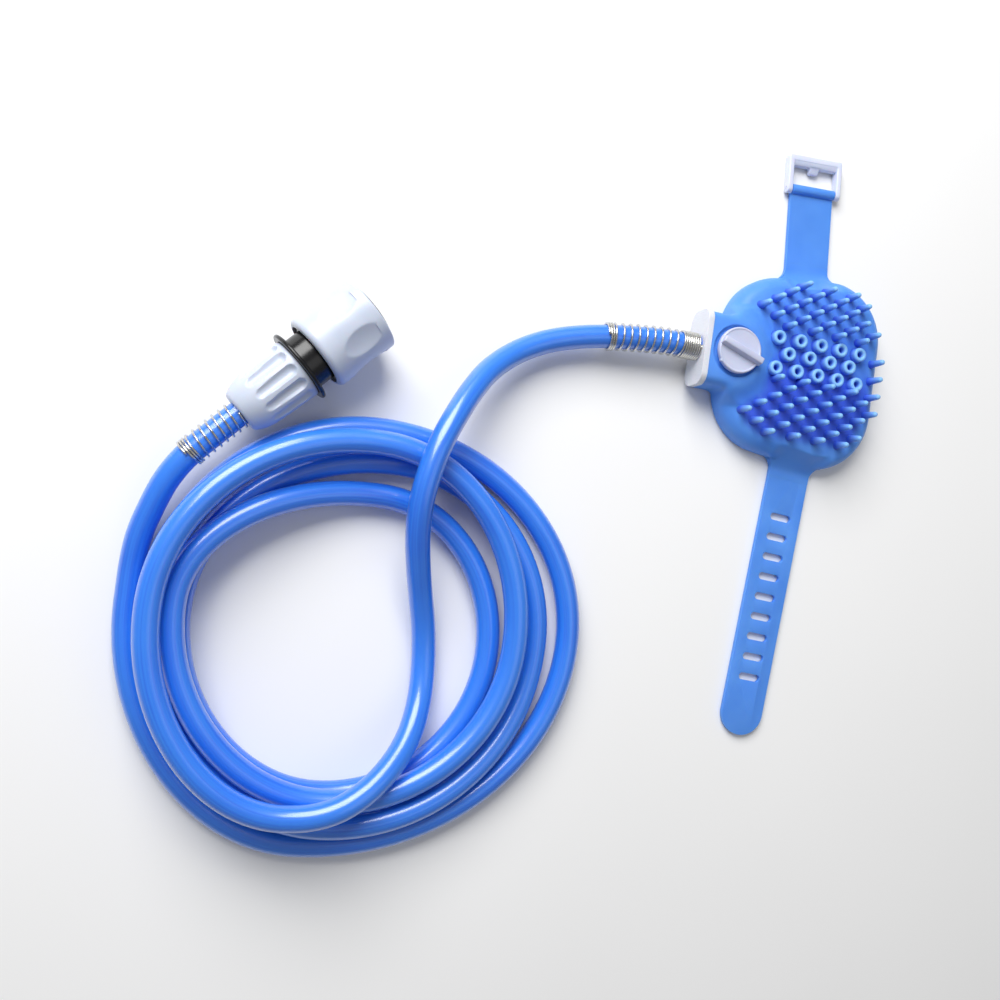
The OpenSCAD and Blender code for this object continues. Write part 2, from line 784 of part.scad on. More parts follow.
// outline of the tooth below the ledge, with rounded corners and filleted roots
module tooth() {
    translate([tooth_edge - tooth_w / 2, -tooth_l])
        square([tooth_w - 2 * tooth_edge, tooth_l + past]);
    translate([-tooth_w / 2, tooth_edge - tooth_l])
        square([tooth_w, tooth_l - tooth_edge + past]);
    for (s = [-1, 1])
        translate([s * (tooth_w / 2 - tooth_edge), tooth_edge - tooth_l]) circle(tooth_edge);
    for (s = [0, 1])
        mirror([s, 0]) translate([tooth_w / 2, 0]) mirror([0, 1]) flare(tooth_edge);
}

module buckle_pin() {
    color(STEEL) on_short() translate([-buckle_w / 2, pin_y, pin_z]) rotate([0, 90, 0])
        cylinder(r = pin_r, h = buckle_w);
}

// ---- hose

LEAD_RUN = free_run(LEAD, tube_rings, LEAD_OUT);
COIL_RUN = coil_run(coil_rings);
TAIL_RUN = free_run(TAIL, tube_rings, TAIL_OUT);

module hose_lead() {
    color(HOSE_BLUE) difference() {
        tube(LEAD_RUN, hose_r, tube_sides, [-1, 0, 0], [-1, 0, 0]);
        translate([neck_x - plate_t + past, 0, bore_z]) rotate([0, -90, 0])
            cylinder(r = hose_bore_r, h = barb_l + past);
    }
}
module hose_coil() {
    color(HOSE_BLUE) tube(COIL_RUN, hose_r, coil_sides, [-1, 0, 0], [0, 1, 0]);
}
module hose_tail() {
    color(HOSE_BLUE) difference() {
        tube(TAIL_RUN, hose_r, tube_sides, [0, 1, 0], line_dir);
        on_line() barrel(hose_bore_r, barb_from, core_from + past);
    }
}

// distance from point p to the line between a and b
function to_segment(p, a, b) =
    let (t = max(0, min(1, (p - a) * (b - a) / ((b - a) * (b - a))))) norm(p - a - t * (b - a));
FULL_RUN = concat(LEAD_RUN, [for (i = [1:len(COIL_RUN) - 1]) COIL_RUN[i]],
                  [for (i = [1:len(TAIL_RUN) - 1]) TAIL_RUN[i]]);
near_skip = 6;
// least gap between the hose and itself, past the neighbouring sections
least_gap = min([for (i = [0:len(FULL_RUN) - 2], j = [i + near_skip:1:len(FULL_RUN) - 1])
    to_segment(FULL_RUN[j], FULL_RUN[i], FULL_RUN[i + 1])]) - 2 * hose_r;

module sprayer_spring() {
    color(STEEL)
        wound(LEAD_RUN, wire_r, SPRAYER_TURNS, sprayer_pitch, coil_r, wire_r, wire_rings);
}

// ---- connector

module tail_spring() {
    back = [for (i = [len(TAIL_RUN) - 1:-1:0]) TAIL_RUN[i]];
    color(STEEL) wound(back, norm(nut_at - back[0]) + wire_r, TAIL_TURNS, tail_pitch,
                       coil_r, wire_r, wire_rings);
}

module connector_core() {
    color(BLACK) on_line() difference() {
        union() {
            translate([0, 0, core_from]) mirror([0, 0, 1]) intersection() {
                barb(core_from - barb_from);
                cylinder(r = hose_r, h = core_from - barb_from - past / 2);
            }
            barrel(boss_r, core_from, nut_l + past);
            rimmed(flange_r, nut_l, flange_to);
            barrel(core_r, nut_l, core_to);
            barrel(seat_r, seat_from, seat_to);
        }
        barrel(barb_water_r, 0, core_from + past);
        barrel(water_r, core_from, socket_from + past);
        barrel(socket_r, socket_from, core_to + past);
    }
}

module hose_collet() {
    color(PALE) on_line() difference() {
        taper(collet_r1, collet_r2, collet_from, collet_to);
        barrel(hose_r + seat_gap, collet_from - past, collet_to + past);
        for (a = [0, 90])
            rotate([0, 0, a]) translate([-sleeve_r, -collet_slit / 2, collet_from + 2 * past])
                cube([2 * sleeve_r, collet_slit, collet_to]);
    }
}

module clamp_nut() {
    color(PALE) on_line() difference() {
        union() {
            rotate_extrude() polygon(concat([[0, 0], [nut_rear_r, 0]],
                [for (a = [0:nut_swell_step:180])
                    [nut_rear_r + (nut_mid_r - nut_rear_r) * (1 - cos(a)) / 2,
                     nut_rear_l + (nut_swell_l - nut_rear_l) * a / 180]],
                [[nut_r, nut_l], [0, nut_l]]));
        }
        barrel(hose_r + free_gap, -past, nut_l);
        taper(collet_r1 + seat_gap, collet_r2 + seat_gap, collet_from, collet_to);
        barrel(collet_r1 + seat_gap, nut_hose_l, collet_from + seat_gap);
        barrel(boss_r + free_gap / 2, collet_to, nut_l + past);
        for (i = [0:flutes - 1])
            rotate([0, 0, i * 360 / flutes])
                translate([(nut_mid_r + nut_r) / 2 - flute_d + flute_r, 0, 0]) {
                    barrel(flute_r, flute_from, flute_to);
                    translate([0, 0, flute_from]) sphere(flute_r);
                    translate([0, 0, flute_to]) sphere(flute_r);
                }
    }
}

module nose_ring() {
    color(BLACK) on_line() difference() {
        barrel(nose_r, core_to, nose_to);
        barrel(mouth_r, core_to - past, nose_to + past);
        difference() {
            barrel(pocket_r2, core_to - past, pocket_to);
            barrel(pocket_r1, core_to - 2 * past, pocket_to + past);
        }
        for (i = [0:claws - 1])
            rotate([0, 0, i * 360 / claws])
                translate([0, -claw_w / 2 - claw_gap, claw_from - claw_gap])
                    cube([pocket_r2 - past, claw_w + 2 * claw_gap,
                          claw_to - claw_from + 2 * claw_gap]);
    }
}

module gripper_ring() {
    color(STEEL) on_line() {
        difference() {
            barrel(pocket_r2 - claw_gap, claw_ring_from, claw_from + seat_gap);
            barrel(pocket_r1 + claw_gap, claw_ring_from - past, claw_from + past);
        }
        for (i = [0:claws - 1])
            rotate([0, 0, i * 360 / claws])
                intersection() {
                    translate([claw_tip_r, -claw_w / 2, claw_from])
                        cube([pocket_r2, claw_w, claw_to - claw_from]);
                    difference() {
                        barrel(pocket_r2 - claw_gap, claw_from - past, claw_to + past);
                        barrel(claw_tip_r, claw_from - 2 * past, claw_to + 2 * past);
                    }
                }
    }
}

module release_spring() {
    line = [for (d = [0:2:nose_to]) nut_at + d * line_dir];
    color(STEEL) wound(line, seat_to + release_wire + seat_gap, [0, release_turns, 0],
                       (ledge_from - seat_to - 2 * release_wire - 2 * seat_gap)
                       / release_turns, release_r, release_wire, 2 * wire_rings);
}

module release_sleeve() {
    color(PALE) on_line() difference() {
        rotate_extrude() {
            translate([0, sleeve_from]) square([sleeve_r - sleeve_edge, sleeve_edge + past]);
            translate([0, sleeve_from + sleeve_edge])
                square([sleeve_r, sleeve_to - sleeve_from - sleeve_edge - sleeve_lip]);
            translate([0, sleeve_to - 2 * sleeve_lip])
                square([sleeve_r - sleeve_lip, 2 * sleeve_lip]);
            translate([sleeve_r - sleeve_edge, sleeve_from + sleeve_edge]) circle(sleeve_edge);
            translate([sleeve_r - sleeve_lip, sleeve_to - sleeve_lip]) circle(sleeve_lip);
        }
        barrel(sleeve_rear_r, sleeve_from - past, ledge_from);
        barrel(core_r + free_gap, sleeve_from - past, ledge_to + past);
        barrel(sleeve_front_r, ledge_to, sleeve_to + past);
        for (i = [0:dimples - 1])
            rotate([0, 0, 30 + i * 360 / dimples]) intersection() {
                translate([sleeve_r - dimple_d + dimple_ball, 0, dimple_at])
                    sphere(dimple_ball, $fn = 96);
                barrel(2 * sleeve_r, sleeve_from, dimple_cut);
            }
    }
}

echo(least_gap = least_gap);

glove_shell();
long_strap();
short_strap();
palm_panel();
inlet_plate();
spigot_oring();
valve_housing();
valve_plug();
plug_oring();
plug_clip();
knob();
sprayer_spring();
buckle_frame();
buckle_pin();
hose_lead();
hose_coil();
hose_tail();
tail_spring();
connector_core();
hose_collet();
clamp_nut();
nose_ring();
gripper_ring();
release_spring();
release_sleeve();
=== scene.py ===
# %% [markdown]
# # A palm-worn bath sprayer
# The object is a soft silicone scrubbing pad that is strapped to the palm. Water comes
# through a coiled hose and a turn valve and leaves through rings between the nubs.
# The rigid pieces come from the CAD frame. This lesson adds the hose, the wound
# springs, the soft pieces, the finer forms of the moulded pieces and every finish.

# %% Load the frame
import math

import bmesh
import bpy
import numpy as np
from mathutils import Matrix, Vector


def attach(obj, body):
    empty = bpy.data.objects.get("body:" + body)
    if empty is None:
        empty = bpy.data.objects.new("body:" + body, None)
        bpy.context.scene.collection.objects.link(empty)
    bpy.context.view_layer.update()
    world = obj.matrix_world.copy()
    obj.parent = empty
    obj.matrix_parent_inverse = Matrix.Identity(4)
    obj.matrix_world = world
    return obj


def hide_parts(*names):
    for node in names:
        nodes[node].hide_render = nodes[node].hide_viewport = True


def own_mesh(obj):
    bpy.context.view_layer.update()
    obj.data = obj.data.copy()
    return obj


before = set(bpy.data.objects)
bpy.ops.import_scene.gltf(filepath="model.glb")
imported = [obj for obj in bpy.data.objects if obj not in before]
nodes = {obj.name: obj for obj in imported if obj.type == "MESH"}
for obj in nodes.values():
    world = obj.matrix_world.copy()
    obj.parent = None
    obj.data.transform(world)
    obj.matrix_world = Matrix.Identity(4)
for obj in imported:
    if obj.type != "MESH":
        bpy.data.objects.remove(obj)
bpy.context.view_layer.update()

MM = 0.001

# %% [markdown]
# ## The camera
# The sprayer lies on a pale floor and is seen from above and a little to the left. A
# constraint could aim the camera. Here its place and two directions are given and the
# third is square to both, so that the view is the same on every run.

# %% The camera
CAMERA_AT = Vector((-255.63, -104.22, 434.0)) * MM
CAMERA_RIGHT = Vector((0.95532, 0.14277, 0.25882))
CAMERA_FORWARD = Vector((0.25598, 0.03826, -0.96593))
CAMERA_ANGLE = 55.0

camera_data = bpy.data.cameras.new("camera")
camera_data.sensor_width = 36.0
camera_data.lens = camera_data.sensor_width / 2 / math.tan(math.radians(CAMERA_ANGLE) / 2)
camera_data.clip_start = 0.01
camera = bpy.data.objects.new("camera", camera_data)
bpy.context.scene.collection.objects.link(camera)
turn = Matrix((CAMERA_RIGHT, CAMERA_RIGHT.cross(CAMERA_FORWARD), -CAMERA_FORWARD)).transposed()
camera.matrix_world = Matrix.Translation(CAMERA_AT) @ turn.to_4x4()
bpy.context.scene.camera = camera
print("camera lens, mm:", round(camera_data.lens, 2))

# %% [markdown]
# ## Surfaces from grids
# Every new piece is a grid of points that is worked out at once as an array, and
# neighbours in the grid become square faces. Blender's own primitives and curves could
# draw many of them, but an array puts every point exactly where its formula says.


# %% Meshes from grids
def put_mesh(name, points, faces, smooth=True):
    """A mesh object at the origin, from points in metres and faces as lists of indices."""
    mesh = bpy.data.meshes.new(name)
    mesh.from_pydata(points.tolist(), [], faces)
    mesh.polygons.foreach_set("use_smooth", [smooth] * len(mesh.polygons))
    mesh.update()
    piece = bpy.data.objects.new(name, mesh)
    bpy.context.scene.collection.objects.link(piece)
    return piece


def grid_faces(rows, columns, start=0):
    """Square faces of a tube: the columns close on themselves and the rows stay open."""
    r, c = np.meshgrid(np.arange(rows - 1), np.arange(columns), indexing="ij")
    n = (c + 1) % columns
    quads = np.stack([r * columns + c, r * columns + n, (r + 1) * columns + n,
                      (r + 1) * columns + c], axis=-1)
    return (quads.reshape(-1, 4) + start).tolist()


def shells(*grids):
    """Points and faces of several closed tubes, each with a flat cap at both ends."""
    points, faces, start = [], [], 0
    for grid in grids:
        rows, sides = grid.shape[:2]
        points.append(grid.reshape(-1, 3))
        faces += grid_faces(rows, sides, start)
        faces.append(list(range(start, start + sides))[::-1])
        faces.append(list(range(start + (rows - 1) * sides, start + rows * sides)))
        start += rows * sides
    return np.concatenate(points), faces


# %% [markdown]
# ## The route of the hose
# A hose keeps its length, so the route comes first. It leaves the inlet straight,
# dips to the floor, rides over its own coil in a long low hump and then winds round in
# turns that lie beside and on each other. A simulation could drop it on the floor, but
# would not lay the same coil twice. So the free stretches are smooth curves through
# given points, and each quarter turn of the coil is one cubic between two points.

# %% Points of the route
HOSE_D = 11.0 * MM
LEAD = np.array([
    [-57, 0, 11], [-70, -0.1, 11], [-80, -0.7, 10.8], [-92, -2, 10.4],
    [-105, -3.8, 9.8], [-119, -7, 9.2], [-133, -12, 9.4], [-146.5, -20, 11.4],
    [-158, -30.5, 16], [-166, -42, 21.8], [-172.3, -54, 27], [-177.5, -66.5, 30.2],
    [-181, -80, 31], [-182.5, -94, 29.3], [-181.3, -108, 24.9], [-178, -121.5, 18.9],
    [-173.7, -135, 12.2], [-169.5, -149, 7.3], [-167, -163.5, 5.7], [-166.6, -178, 8],
    [-168.8, -191, 13.2], [-173.2, -201.5, 18.9], [-179.8, -210.8, 24.2],
    [-188, -219.1, 28.2], [-198, -226, 30.2], [-209, -230.1, 30.3], [-221, -231.5, 30]])
COIL = np.array([
    [-221, -231.5, 30], [-285.5, -150, 28.4], [-200, -71, 18], [-129, -152, 17.5],
    [-205, -227, 18], [-276.8, -149, 20.2], [-196, -93.5, 5.5], [-138, -158.5, 5.5],
    [-207, -227, 5.5], [-275, -152, 5.5], [-190, -78, 5.5], [-116, -153, 6],
    [-204, -239, 13.5], [-285.6, -152, 12.2], [-197, -64.4, 5.5], [-100, -151, 5.5],
    [-212, -249.5, 5.5], [-295.6, -150, 5.5]])
COIL_HANDLE = np.array([0.53, 0.55, 0.55, 0.55])
COIL_FALL = 1.8
TAIL = np.array([
    [-295.6, -150, 5.5], [-295.7, -136.5, 6.4], [-294.5, -124, 8.7],
    [-291.3, -112, 11.6], [-287.7, -101.8, 14.3], [-283.5, -93.8, 16.1],
    [-278.6, -86.8, 17.1], [-272.9, -80.3, 17.5], [-267.6, -74.3, 17.5],
    [-262.2, -68.4, 17.5], [-255.5, -61, 17.5], [-248.8, -53.5, 17.5]])

# %% Curves through the points
CURVE_STEPS, COIL_STEPS, RING_STEP = 12, 60, 3.5 * MM
LEAD_OUT, TAIL_OUT = (-13, 0, 0), (6.7, 7.4, 0)


def unit(v):
    """Each row of v divided by its length."""
    return v / np.linalg.norm(v, axis=-1, keepdims=True)


def run_lengths(path):
    """Distance along the path to each of its points."""
    return np.concatenate([[0.0], np.cumsum(np.linalg.norm(np.diff(path, axis=0), axis=1))])


def at_even_steps(path, step):
    """The same path with its points at even distances of about one step."""
    along = run_lengths(path)
    wanted = np.linspace(0.0, along[-1], int(round(along[-1] / step)) + 1)
    return np.stack([np.interp(wanted, along, path[:, i]) for i in range(3)], axis=-1)


def smooth_run(points, steps, out):
    """Smooth curve through the points: between p1 and p2 it is half of
    2 p1 + (p2 - p0) t + (2 p0 - 5 p1 + 4 p2 - p3) t^2 + (3 p1 - p0 - 3 p2 + p3) t^3."""
    p = np.vstack([2 * points[0] - points[1], points, points[-1] + np.asarray(out)])
    t = (np.arange(steps) / steps)[None, :, None]
    p0, p1, p2, p3 = (p[i:len(p) - 3 + i, None] for i in range(4))
    curve = 0.5 * (2 * p1 + (p2 - p0) * t + (2 * p0 - 5 * p1 + 4 * p2 - p3) * t**2
                   + (3 * p1 - p0 - 3 * p2 + p3) * t**3)
    return np.vstack([curve.reshape(-1, 3), points[-1]])


def coil_run(points, steps):
    """Quarter turns as cubics that leave and arrive square; a climb leaves its level
    slowly and a fall arrives slowly, by u^2 (3 - 2 u) of u to the power 1.8."""
    a, b = points[:-1, None], points[1:, None]
    quarter = np.arange(len(points) - 1)
    h = COIL_HANDLE[quarter % 4][:, None, None]
    even = (quarter % 2 == 0)[:, None]
    corner = np.where(even[..., None], np.stack([b[..., 0], a[..., 1]], -1),
                      np.stack([a[..., 0], b[..., 1]], -1))
    u = (np.arange(steps) / steps)[None, :, None]
    v = 1 - u
    p, q = a[..., :2] + h * (corner - a[..., :2]), b[..., :2] + h * (corner - b[..., :2])
    flat = v**3 * a[..., :2] + 3 * v * v * u * p + 3 * v * u * u * q + u**3 * b[..., :2]

    def ease(w):
        w = w**COIL_FALL
        return w * w * (3 - 2 * w)
    climbed = np.where(b[..., 2:] < a[..., 2:], ease(u), 1 - ease(v))
    level = a[..., 2:] + (b[..., 2:] - a[..., 2:]) * climbed
    return np.vstack([np.concatenate([flat, level], -1).reshape(-1, 3), points[-1]])


lead_line = smooth_run(LEAD, CURVE_STEPS, LEAD_OUT)
coil_line = coil_run(COIL, COIL_STEPS)
tail_line = smooth_run(TAIL, CURVE_STEPS, TAIL_OUT)
route = at_even_steps(np.vstack([lead_line, coil_line[1:], tail_line[1:]]) * MM, RING_STEP)

# %% [markdown]
# ## The hose
# A PVC hose is pushed out of a die, so it is one even tube with a bright skin. A curve
# with a round bevel could draw it. Rings of points also give it a UV map of the angle
# and the distance along it, which the fine lines of the die need. Twenty-four sides and
# a ring every 3.5 mm keep its outline round in the tight bends.


# %% Tubes along a path
def tube_grid(path, radius, sides, out=None, lift=None):
    """Rings of radius r round a path: centre + r (cos a * out + sin a * lift).
    out and lift are two directions square to the path at each point."""
    if out is None:
        run = unit(np.gradient(path, axis=0))
        out = unit(np.cross(run, [0.0, 0.0, 1.0]))
        lift = np.cross(out, run)
    angle = np.arange(sides) * 2 * math.pi / sides
    radius = np.broadcast_to(radius, (len(path),))[:, None, None]
    ring = (np.cos(angle)[None, :, None] * out[:, None]
            + np.sin(angle)[None, :, None] * lift[:, None])
    return path[:, None] + radius * ring


def stand_for(piece, body, slot, *cad_nodes):
    """The piece moves with the body and takes the place of the CAD nodes. The slot is
    not used."""
    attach(piece, body)
    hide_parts(*cad_nodes)
    print(piece.name, "faces:", len(piece.data.polygons))


# %% The hose
HOSE_SIDES = 24
hose = put_mesh("hose", *shells(tube_grid(route, HOSE_D / 2, HOSE_SIDES)))
uv = hose.data.uv_layers.new(name="run")
loop_vertex = np.zeros(len(hose.data.loops), np.int32)
hose.data.loops.foreach_get("vertex_index", loop_vertex)
along = run_lengths(route)[loop_vertex // HOSE_SIDES]
round_it = (loop_vertex % HOSE_SIDES) / HOSE_SIDES
uv.data.foreach_set("uv", np.stack([round_it, along], -1).ravel().astype(np.float32))
stand_for(hose, "sprayer", "hose", "hose_lead", "hose_coil", "hose_tail")

# %% [markdown]
# ## The wound springs
# A close-wound wire keeps the hose from kinking where it enters a fitting. Its first
# turns lie against each other and then the pitch opens. A Screw modifier winds only
# round a straight line. Here the wire's centre turns round the hose's own line, so the
# spring bends as the hose does.

# %% Winding a wire
WIRE_R, SPRING_R = 0.5, 6.2
RINGS_PER_TURN, WIRE_SIDES = 30, 10


def winding(line, start, turns, pitches, spring_r, wire_r):
    """Wire round a line: at turn k the centre is line(d) + R (cos a * side + sin a *
    lift) with a = 90 degrees + 360 k, and d grows by the pitch of each stretch."""
    k = np.linspace(0, sum(turns), int(sum(turns) * RINGS_PER_TURN) + 1)
    ends = np.concatenate([[0.0], np.cumsum(turns)])
    reach = start + sum(pitch * np.clip(k - a, 0, b - a)
                        for pitch, a, b in zip(pitches, ends[:-1], ends[1:]))
    along = run_lengths(line)

    def place(d):
        return np.stack([np.interp(d, along, line[:, i]) for i in range(3)], -1)
    centre = place(reach)
    run = unit(place(reach + 1.0) - place(reach - 1.0))
    side = unit(np.cross(run, [0.0, 0.0, 1.0]))
    lift = np.cross(side, run)
    a = (math.pi / 2 + 2 * math.pi * k)[:, None]
    out = np.cos(a) * side + np.sin(a) * lift
    rings = tube_grid(centre + spring_r * out, wire_r, WIRE_SIDES, out, run)
    return rings * MM


def put_spring(name, node, *wind):
    """A wound wire that stands for the CAD spring of the same place."""
    spring = put_mesh(name, *shells(winding(*wind)[:, ::-1]))
    stand_for(spring, "sprayer", "spring_steel", node)
    return spring


# %% The springs on the hose
CLOSE_PITCH, SPRAYER_PITCH, TAIL_PITCH = 1.1, 3.8, 3.3
SPRAYER_TURNS, TAIL_TURNS = (8, 9, 3), (0, 7, 3)
NUT_AT, LINE_TURN = TAIL[-3], math.radians(48.06)
LINE_DIR = np.array([math.cos(LINE_TURN), math.sin(LINE_TURN), 0.0])
tail_back = tail_line[::-1]
nut_reach = np.linalg.norm(NUT_AT - tail_back[0])
sprayer_spring = put_spring(
    "sprayer_spring_wire", "sprayer_spring", lead_line, WIRE_R, SPRAYER_TURNS,
    (CLOSE_PITCH, SPRAYER_PITCH, CLOSE_PITCH), SPRING_R, WIRE_R)
tail_spring = put_spring(
    "tail_spring_wire", "tail_spring", tail_back, nut_reach + WIRE_R, TAIL_TURNS,
    (CLOSE_PITCH, TAIL_PITCH, CLOSE_PITCH), SPRING_R, WIRE_R)

# %% [markdown]
# ## The release spring
# Inside the connector a wider spring pushes the sleeve back after it has been drawn.
# The same winding makes it, round the connector's straight line, and it gets a mesh of
# its own.

# %% The release spring
SEAT, LEDGE, RELEASE_R, RELEASE_WIRE, RELEASE_TURNS = 43.02, 55.98, 13.4, 0.55, 5
LINE_FROM, LINE_TO, LINE_STEP = 30.0, 70.0, 2.0
release_line = NUT_AT + np.arange(LINE_FROM, LINE_TO, LINE_STEP)[:, None] * LINE_DIR
release_pitch = (LEDGE - SEAT - 2 * RELEASE_WIRE) / RELEASE_TURNS
release_spring = put_spring(
    "release_spring_wire", "release_spring", release_line, SEAT + RELEASE_WIRE - LINE_FROM,
    (0, RELEASE_TURNS, 0), (1.0, release_pitch, 1.0), RELEASE_R, RELEASE_WIRE)
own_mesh(release_spring)

# %% [markdown]
# ## The pad's outline
# The pad is one silicone moulding, a low dome with a short neck for the valve and a root
# for each strap. Booleans of simple bodies would leave sharp seams between them. So the
# outline is worked out in polar form: the four rounded corners give the distance from
# the middle at every angle, the neck gives another, and the larger one counts, with the
# step between them rounded off.


# %% Rounded joins
def smooth_max(a, b, k):
    """The larger of a and b, plus (k - |a - b|)^2 / 4 k where they differ by less than k."""
    return np.maximum(a, b) + np.maximum(k - np.abs(a - b), 0) ** 2 / (4 * k)


def smooth_min(a, b, k):
    """The smaller of a and b, rounded off in the same way."""
    return -smooth_max(-a, -b, k)


def rise(x, start, end):
    """0 before start and 1 after end, with t^2 (3 - 2 t) between."""
    t = np.clip((x - start) / (end - start), 0, 1)
    return t * t * (3 - 2 * t)


# %% The body and the neck
CORNERS = np.array([[-12.5, 14.5, 29.5], [-12.5, -14.5, 29.5],
                    [14.5, 18.0, 30.0], [14.5, -18.0, 30.0]])
NECK_X, NECK_HALF, NECK_BLEND, VALVE_X = -54.0, 17.5, 5.0, -40.2
FACINGS, FINE_ANGLES, LEAST_SLOPE = 1440, 8001, 0.2


def outline_at(angle):
    """Distance of the outline from the middle. A convex shape whose reach towards the
    angle p is h(p) ends at the least h(p) / cos(angle - p)."""
    facing = np.linspace(0, 2 * math.pi, FACINGS + 1)[:-1]
    normal = np.stack([np.cos(facing), np.sin(facing)])
    reach = np.max(CORNERS[:, :2] @ normal + CORNERS[:, 2:], axis=0)
    slope = np.cos(angle[:, None] - facing)
    body = np.min(np.where(slope > LEAST_SLOPE, reach / np.maximum(slope, LEAST_SLOPE), 1e9),
                  axis=1)
    c, s = np.cos(angle), np.abs(np.sin(angle))
    neck = np.where(c < 0, np.minimum(-NECK_X / np.maximum(-c, 1e-9),
                                      NECK_HALF / np.maximum(s, 1e-9)), 0.0)
    return smooth_max(body, neck, NECK_BLEND)


def edge_points(reach):
    """Points of the outline from its distance at each fine angle, cut off at the neck."""
    points = reach[:, None] * facing_out
    points[:, 0] = np.maximum(points[:, 0], NECK_X)
    return points


fine = np.linspace(-math.pi, math.pi, FINE_ANGLES)
facing_out = np.stack([np.cos(fine), np.sin(fine)], -1)
base_reach = outline_at(fine)
base_edge = edge_points(base_reach)
print("body's reach, mm:", np.round([base_reach.min(), base_reach.max()], 1).tolist())

# %% [markdown]
# ## The roots of the straps
# The real straps are moulded in one with the pad and flow into it. So the outline runs
# out over each strap in a short tongue with a fillet on both sides. A tongue that is
# part of the same outline needs no join, and its skin can fade to the strap's height.

# %% The roots of the straps
OUTLINE_COLUMNS = 560
ROOT_R, ROOT_FROM, ROOT_TO = 7.2, 1.4, 12.0
SHORT_ROOT, SHORT_DEG, SHORT_HALF = np.array([2.1, 43.0]), 4.2, 11.95
LONG_ROOT, LONG_DEG, LONG_HALF = np.array([7.4, -43.0]), -4.0, 11.25
ROOTS = ((SHORT_ROOT, SHORT_DEG, SHORT_HALF, 1), (LONG_ROOT, LONG_DEG, LONG_HALF, -1))
RAY_FROM, RAY_TO, RAY_STEP = 38.0, 60.0, 0.05


def along_strap(points, at, turn_deg, down):
    """Distances of points from a strap's root: along the strap and off its middle line."""
    turn = math.radians(turn_deg)
    along = np.array([-math.sin(turn), math.cos(turn)]) * down
    return (points - at) @ along, np.abs((points - at) @ np.array([along[1], -along[0]]))


def tongue_at(angle, at, turn_deg, half, down):
    """How far a ray at each angle stays within a strap's root: a strip from the pad with
    a fillet of radius ROOT_R on both sides. Most rays miss it and give 0."""
    reach = np.arange(RAY_FROM, RAY_TO, RAY_STEP)
    point = reach[:, None, None] * np.stack([np.cos(angle), np.sin(angle)], -1)[None]
    s, off = along_strap(point, at, turn_deg, down)
    bend = np.clip(1 - (s - ROOT_FROM) / ROOT_R, 0, 1)
    width = half + ROOT_R * (1 - np.sqrt(1 - bend**2))
    return np.max(np.where((off < width) & (s < ROOT_TO) & (s > 0), reach[:, None], 0), axis=0)


fine_edge = edge_points(np.max([base_reach] + [tongue_at(fine, *root) for root in ROOTS], axis=0))
fine_run = run_lengths(fine_edge)
even = np.linspace(0, fine_run[-1], OUTLINE_COLUMNS + 1)[:-1]
edge = np.stack([np.interp(even, fine_run, fine_edge[:, i]) for i in range(2)], -1)
print("outline, mm round:", round(float(fine_run[-1]), 1))

# %% [markdown]
# ## Height of the skin
# Over the outline the skin is a field of heights: a shallow dome, a raised neck that
# flows into it, a rounded rim that depends only on the distance to the edge, a shallow
# well under the knob, and a ramp at each strap's root that fades to the strap's top.
# Sculpting could blend these too, but a formula can be read, changed and repeated.

# %% Distance to the edge
EDGE_EVERY, END_PAST = 16, 20.0
side_edge = base_edge[base_edge[:, 0] > NECK_X + 0.01]
side_edge = np.vstack([[NECK_X - END_PAST, side_edge[0, 1]], side_edge[::EDGE_EVERY],
                       [NECK_X - END_PAST, side_edge[-1, 1]]])


def to_edge(points):
    """Distance from each point to the outline's line, the neck's open end left out."""
    a, b = side_edge[:-1], side_edge[1:]
    line = b - a
    t = ((points[:, None] - a) * line).sum(-1) / (line**2).sum(-1)
    foot = a + np.clip(t, 0, 1)[..., None] * line
    return np.linalg.norm(points[:, None] - foot, axis=-1).min(axis=1)


print("edge pieces:", len(side_edge) - 1)

# %% Height of the skin
DOME_H, DOME_FALL = 17.0, 2.4 / 34**2
SIDE_H, EDGE_R, RIM_SLOPE, RIM_BLEND = 5.0, 8.5, 0.25, 1.0
NECK_H, NECK_SIDE_H, NECK_EDGE_R = 20.0, 15.0, 5.0
NECK_DROP, DROP_FROM, DROP_TO, TOP_BLEND = 9.0, 13.5, 31.0, 4.0
SHOULDER_Y, SHOULDER_X, SHOULDER_FROM, SHOULDER_TO = 13.0, -30.0, 4.5, 13.0
WELL_R, WELL_EDGE, WELL_DEEP, WELL_BELOW = 11.8, 0.8, 1.5, 3.0
STRAP_T, ROOT_FALL, ROOT_LIFT = 2.2, 6.5, 0.03
BLEND_IN, BLEND_OUT, FADE_FROM, FADE_SHORT = 3.0, 6.0, 4.0, 0.4


def dome(x, y):
    """Height of the dome: a bowl that falls with the square of the distance."""
    return DOME_H - DOME_FALL * (x * x + y * y)


def root_ramp(points, past):
    """Height of the skin over the straps' roots, and from 0 to 1 how near a strap each
    point is. The height falls with the square of the distance past the body's edge and
    fades along the strap: t + lift + (w - t) (past / fall + 1)^2 fade."""
    near, fade = np.zeros(len(points)), np.zeros(len(points))
    for at, turn_deg, half, down in ROOTS:
        s, off = along_strap(points, at, turn_deg, down)
        this_side = points[:, 1] * down > 0
        near = np.maximum(near, this_side * (1 - rise(off, half - BLEND_IN, half + BLEND_OUT)))
        fade = np.maximum(fade, this_side * (1 - rise(s, FADE_FROM, ROOT_TO - FADE_SHORT)))
    fall = np.maximum(past / ROOT_FALL + 1, 0) ** 2
    return STRAP_T + ROOT_LIFT + (SIDE_H - STRAP_T) * fall * fade, near


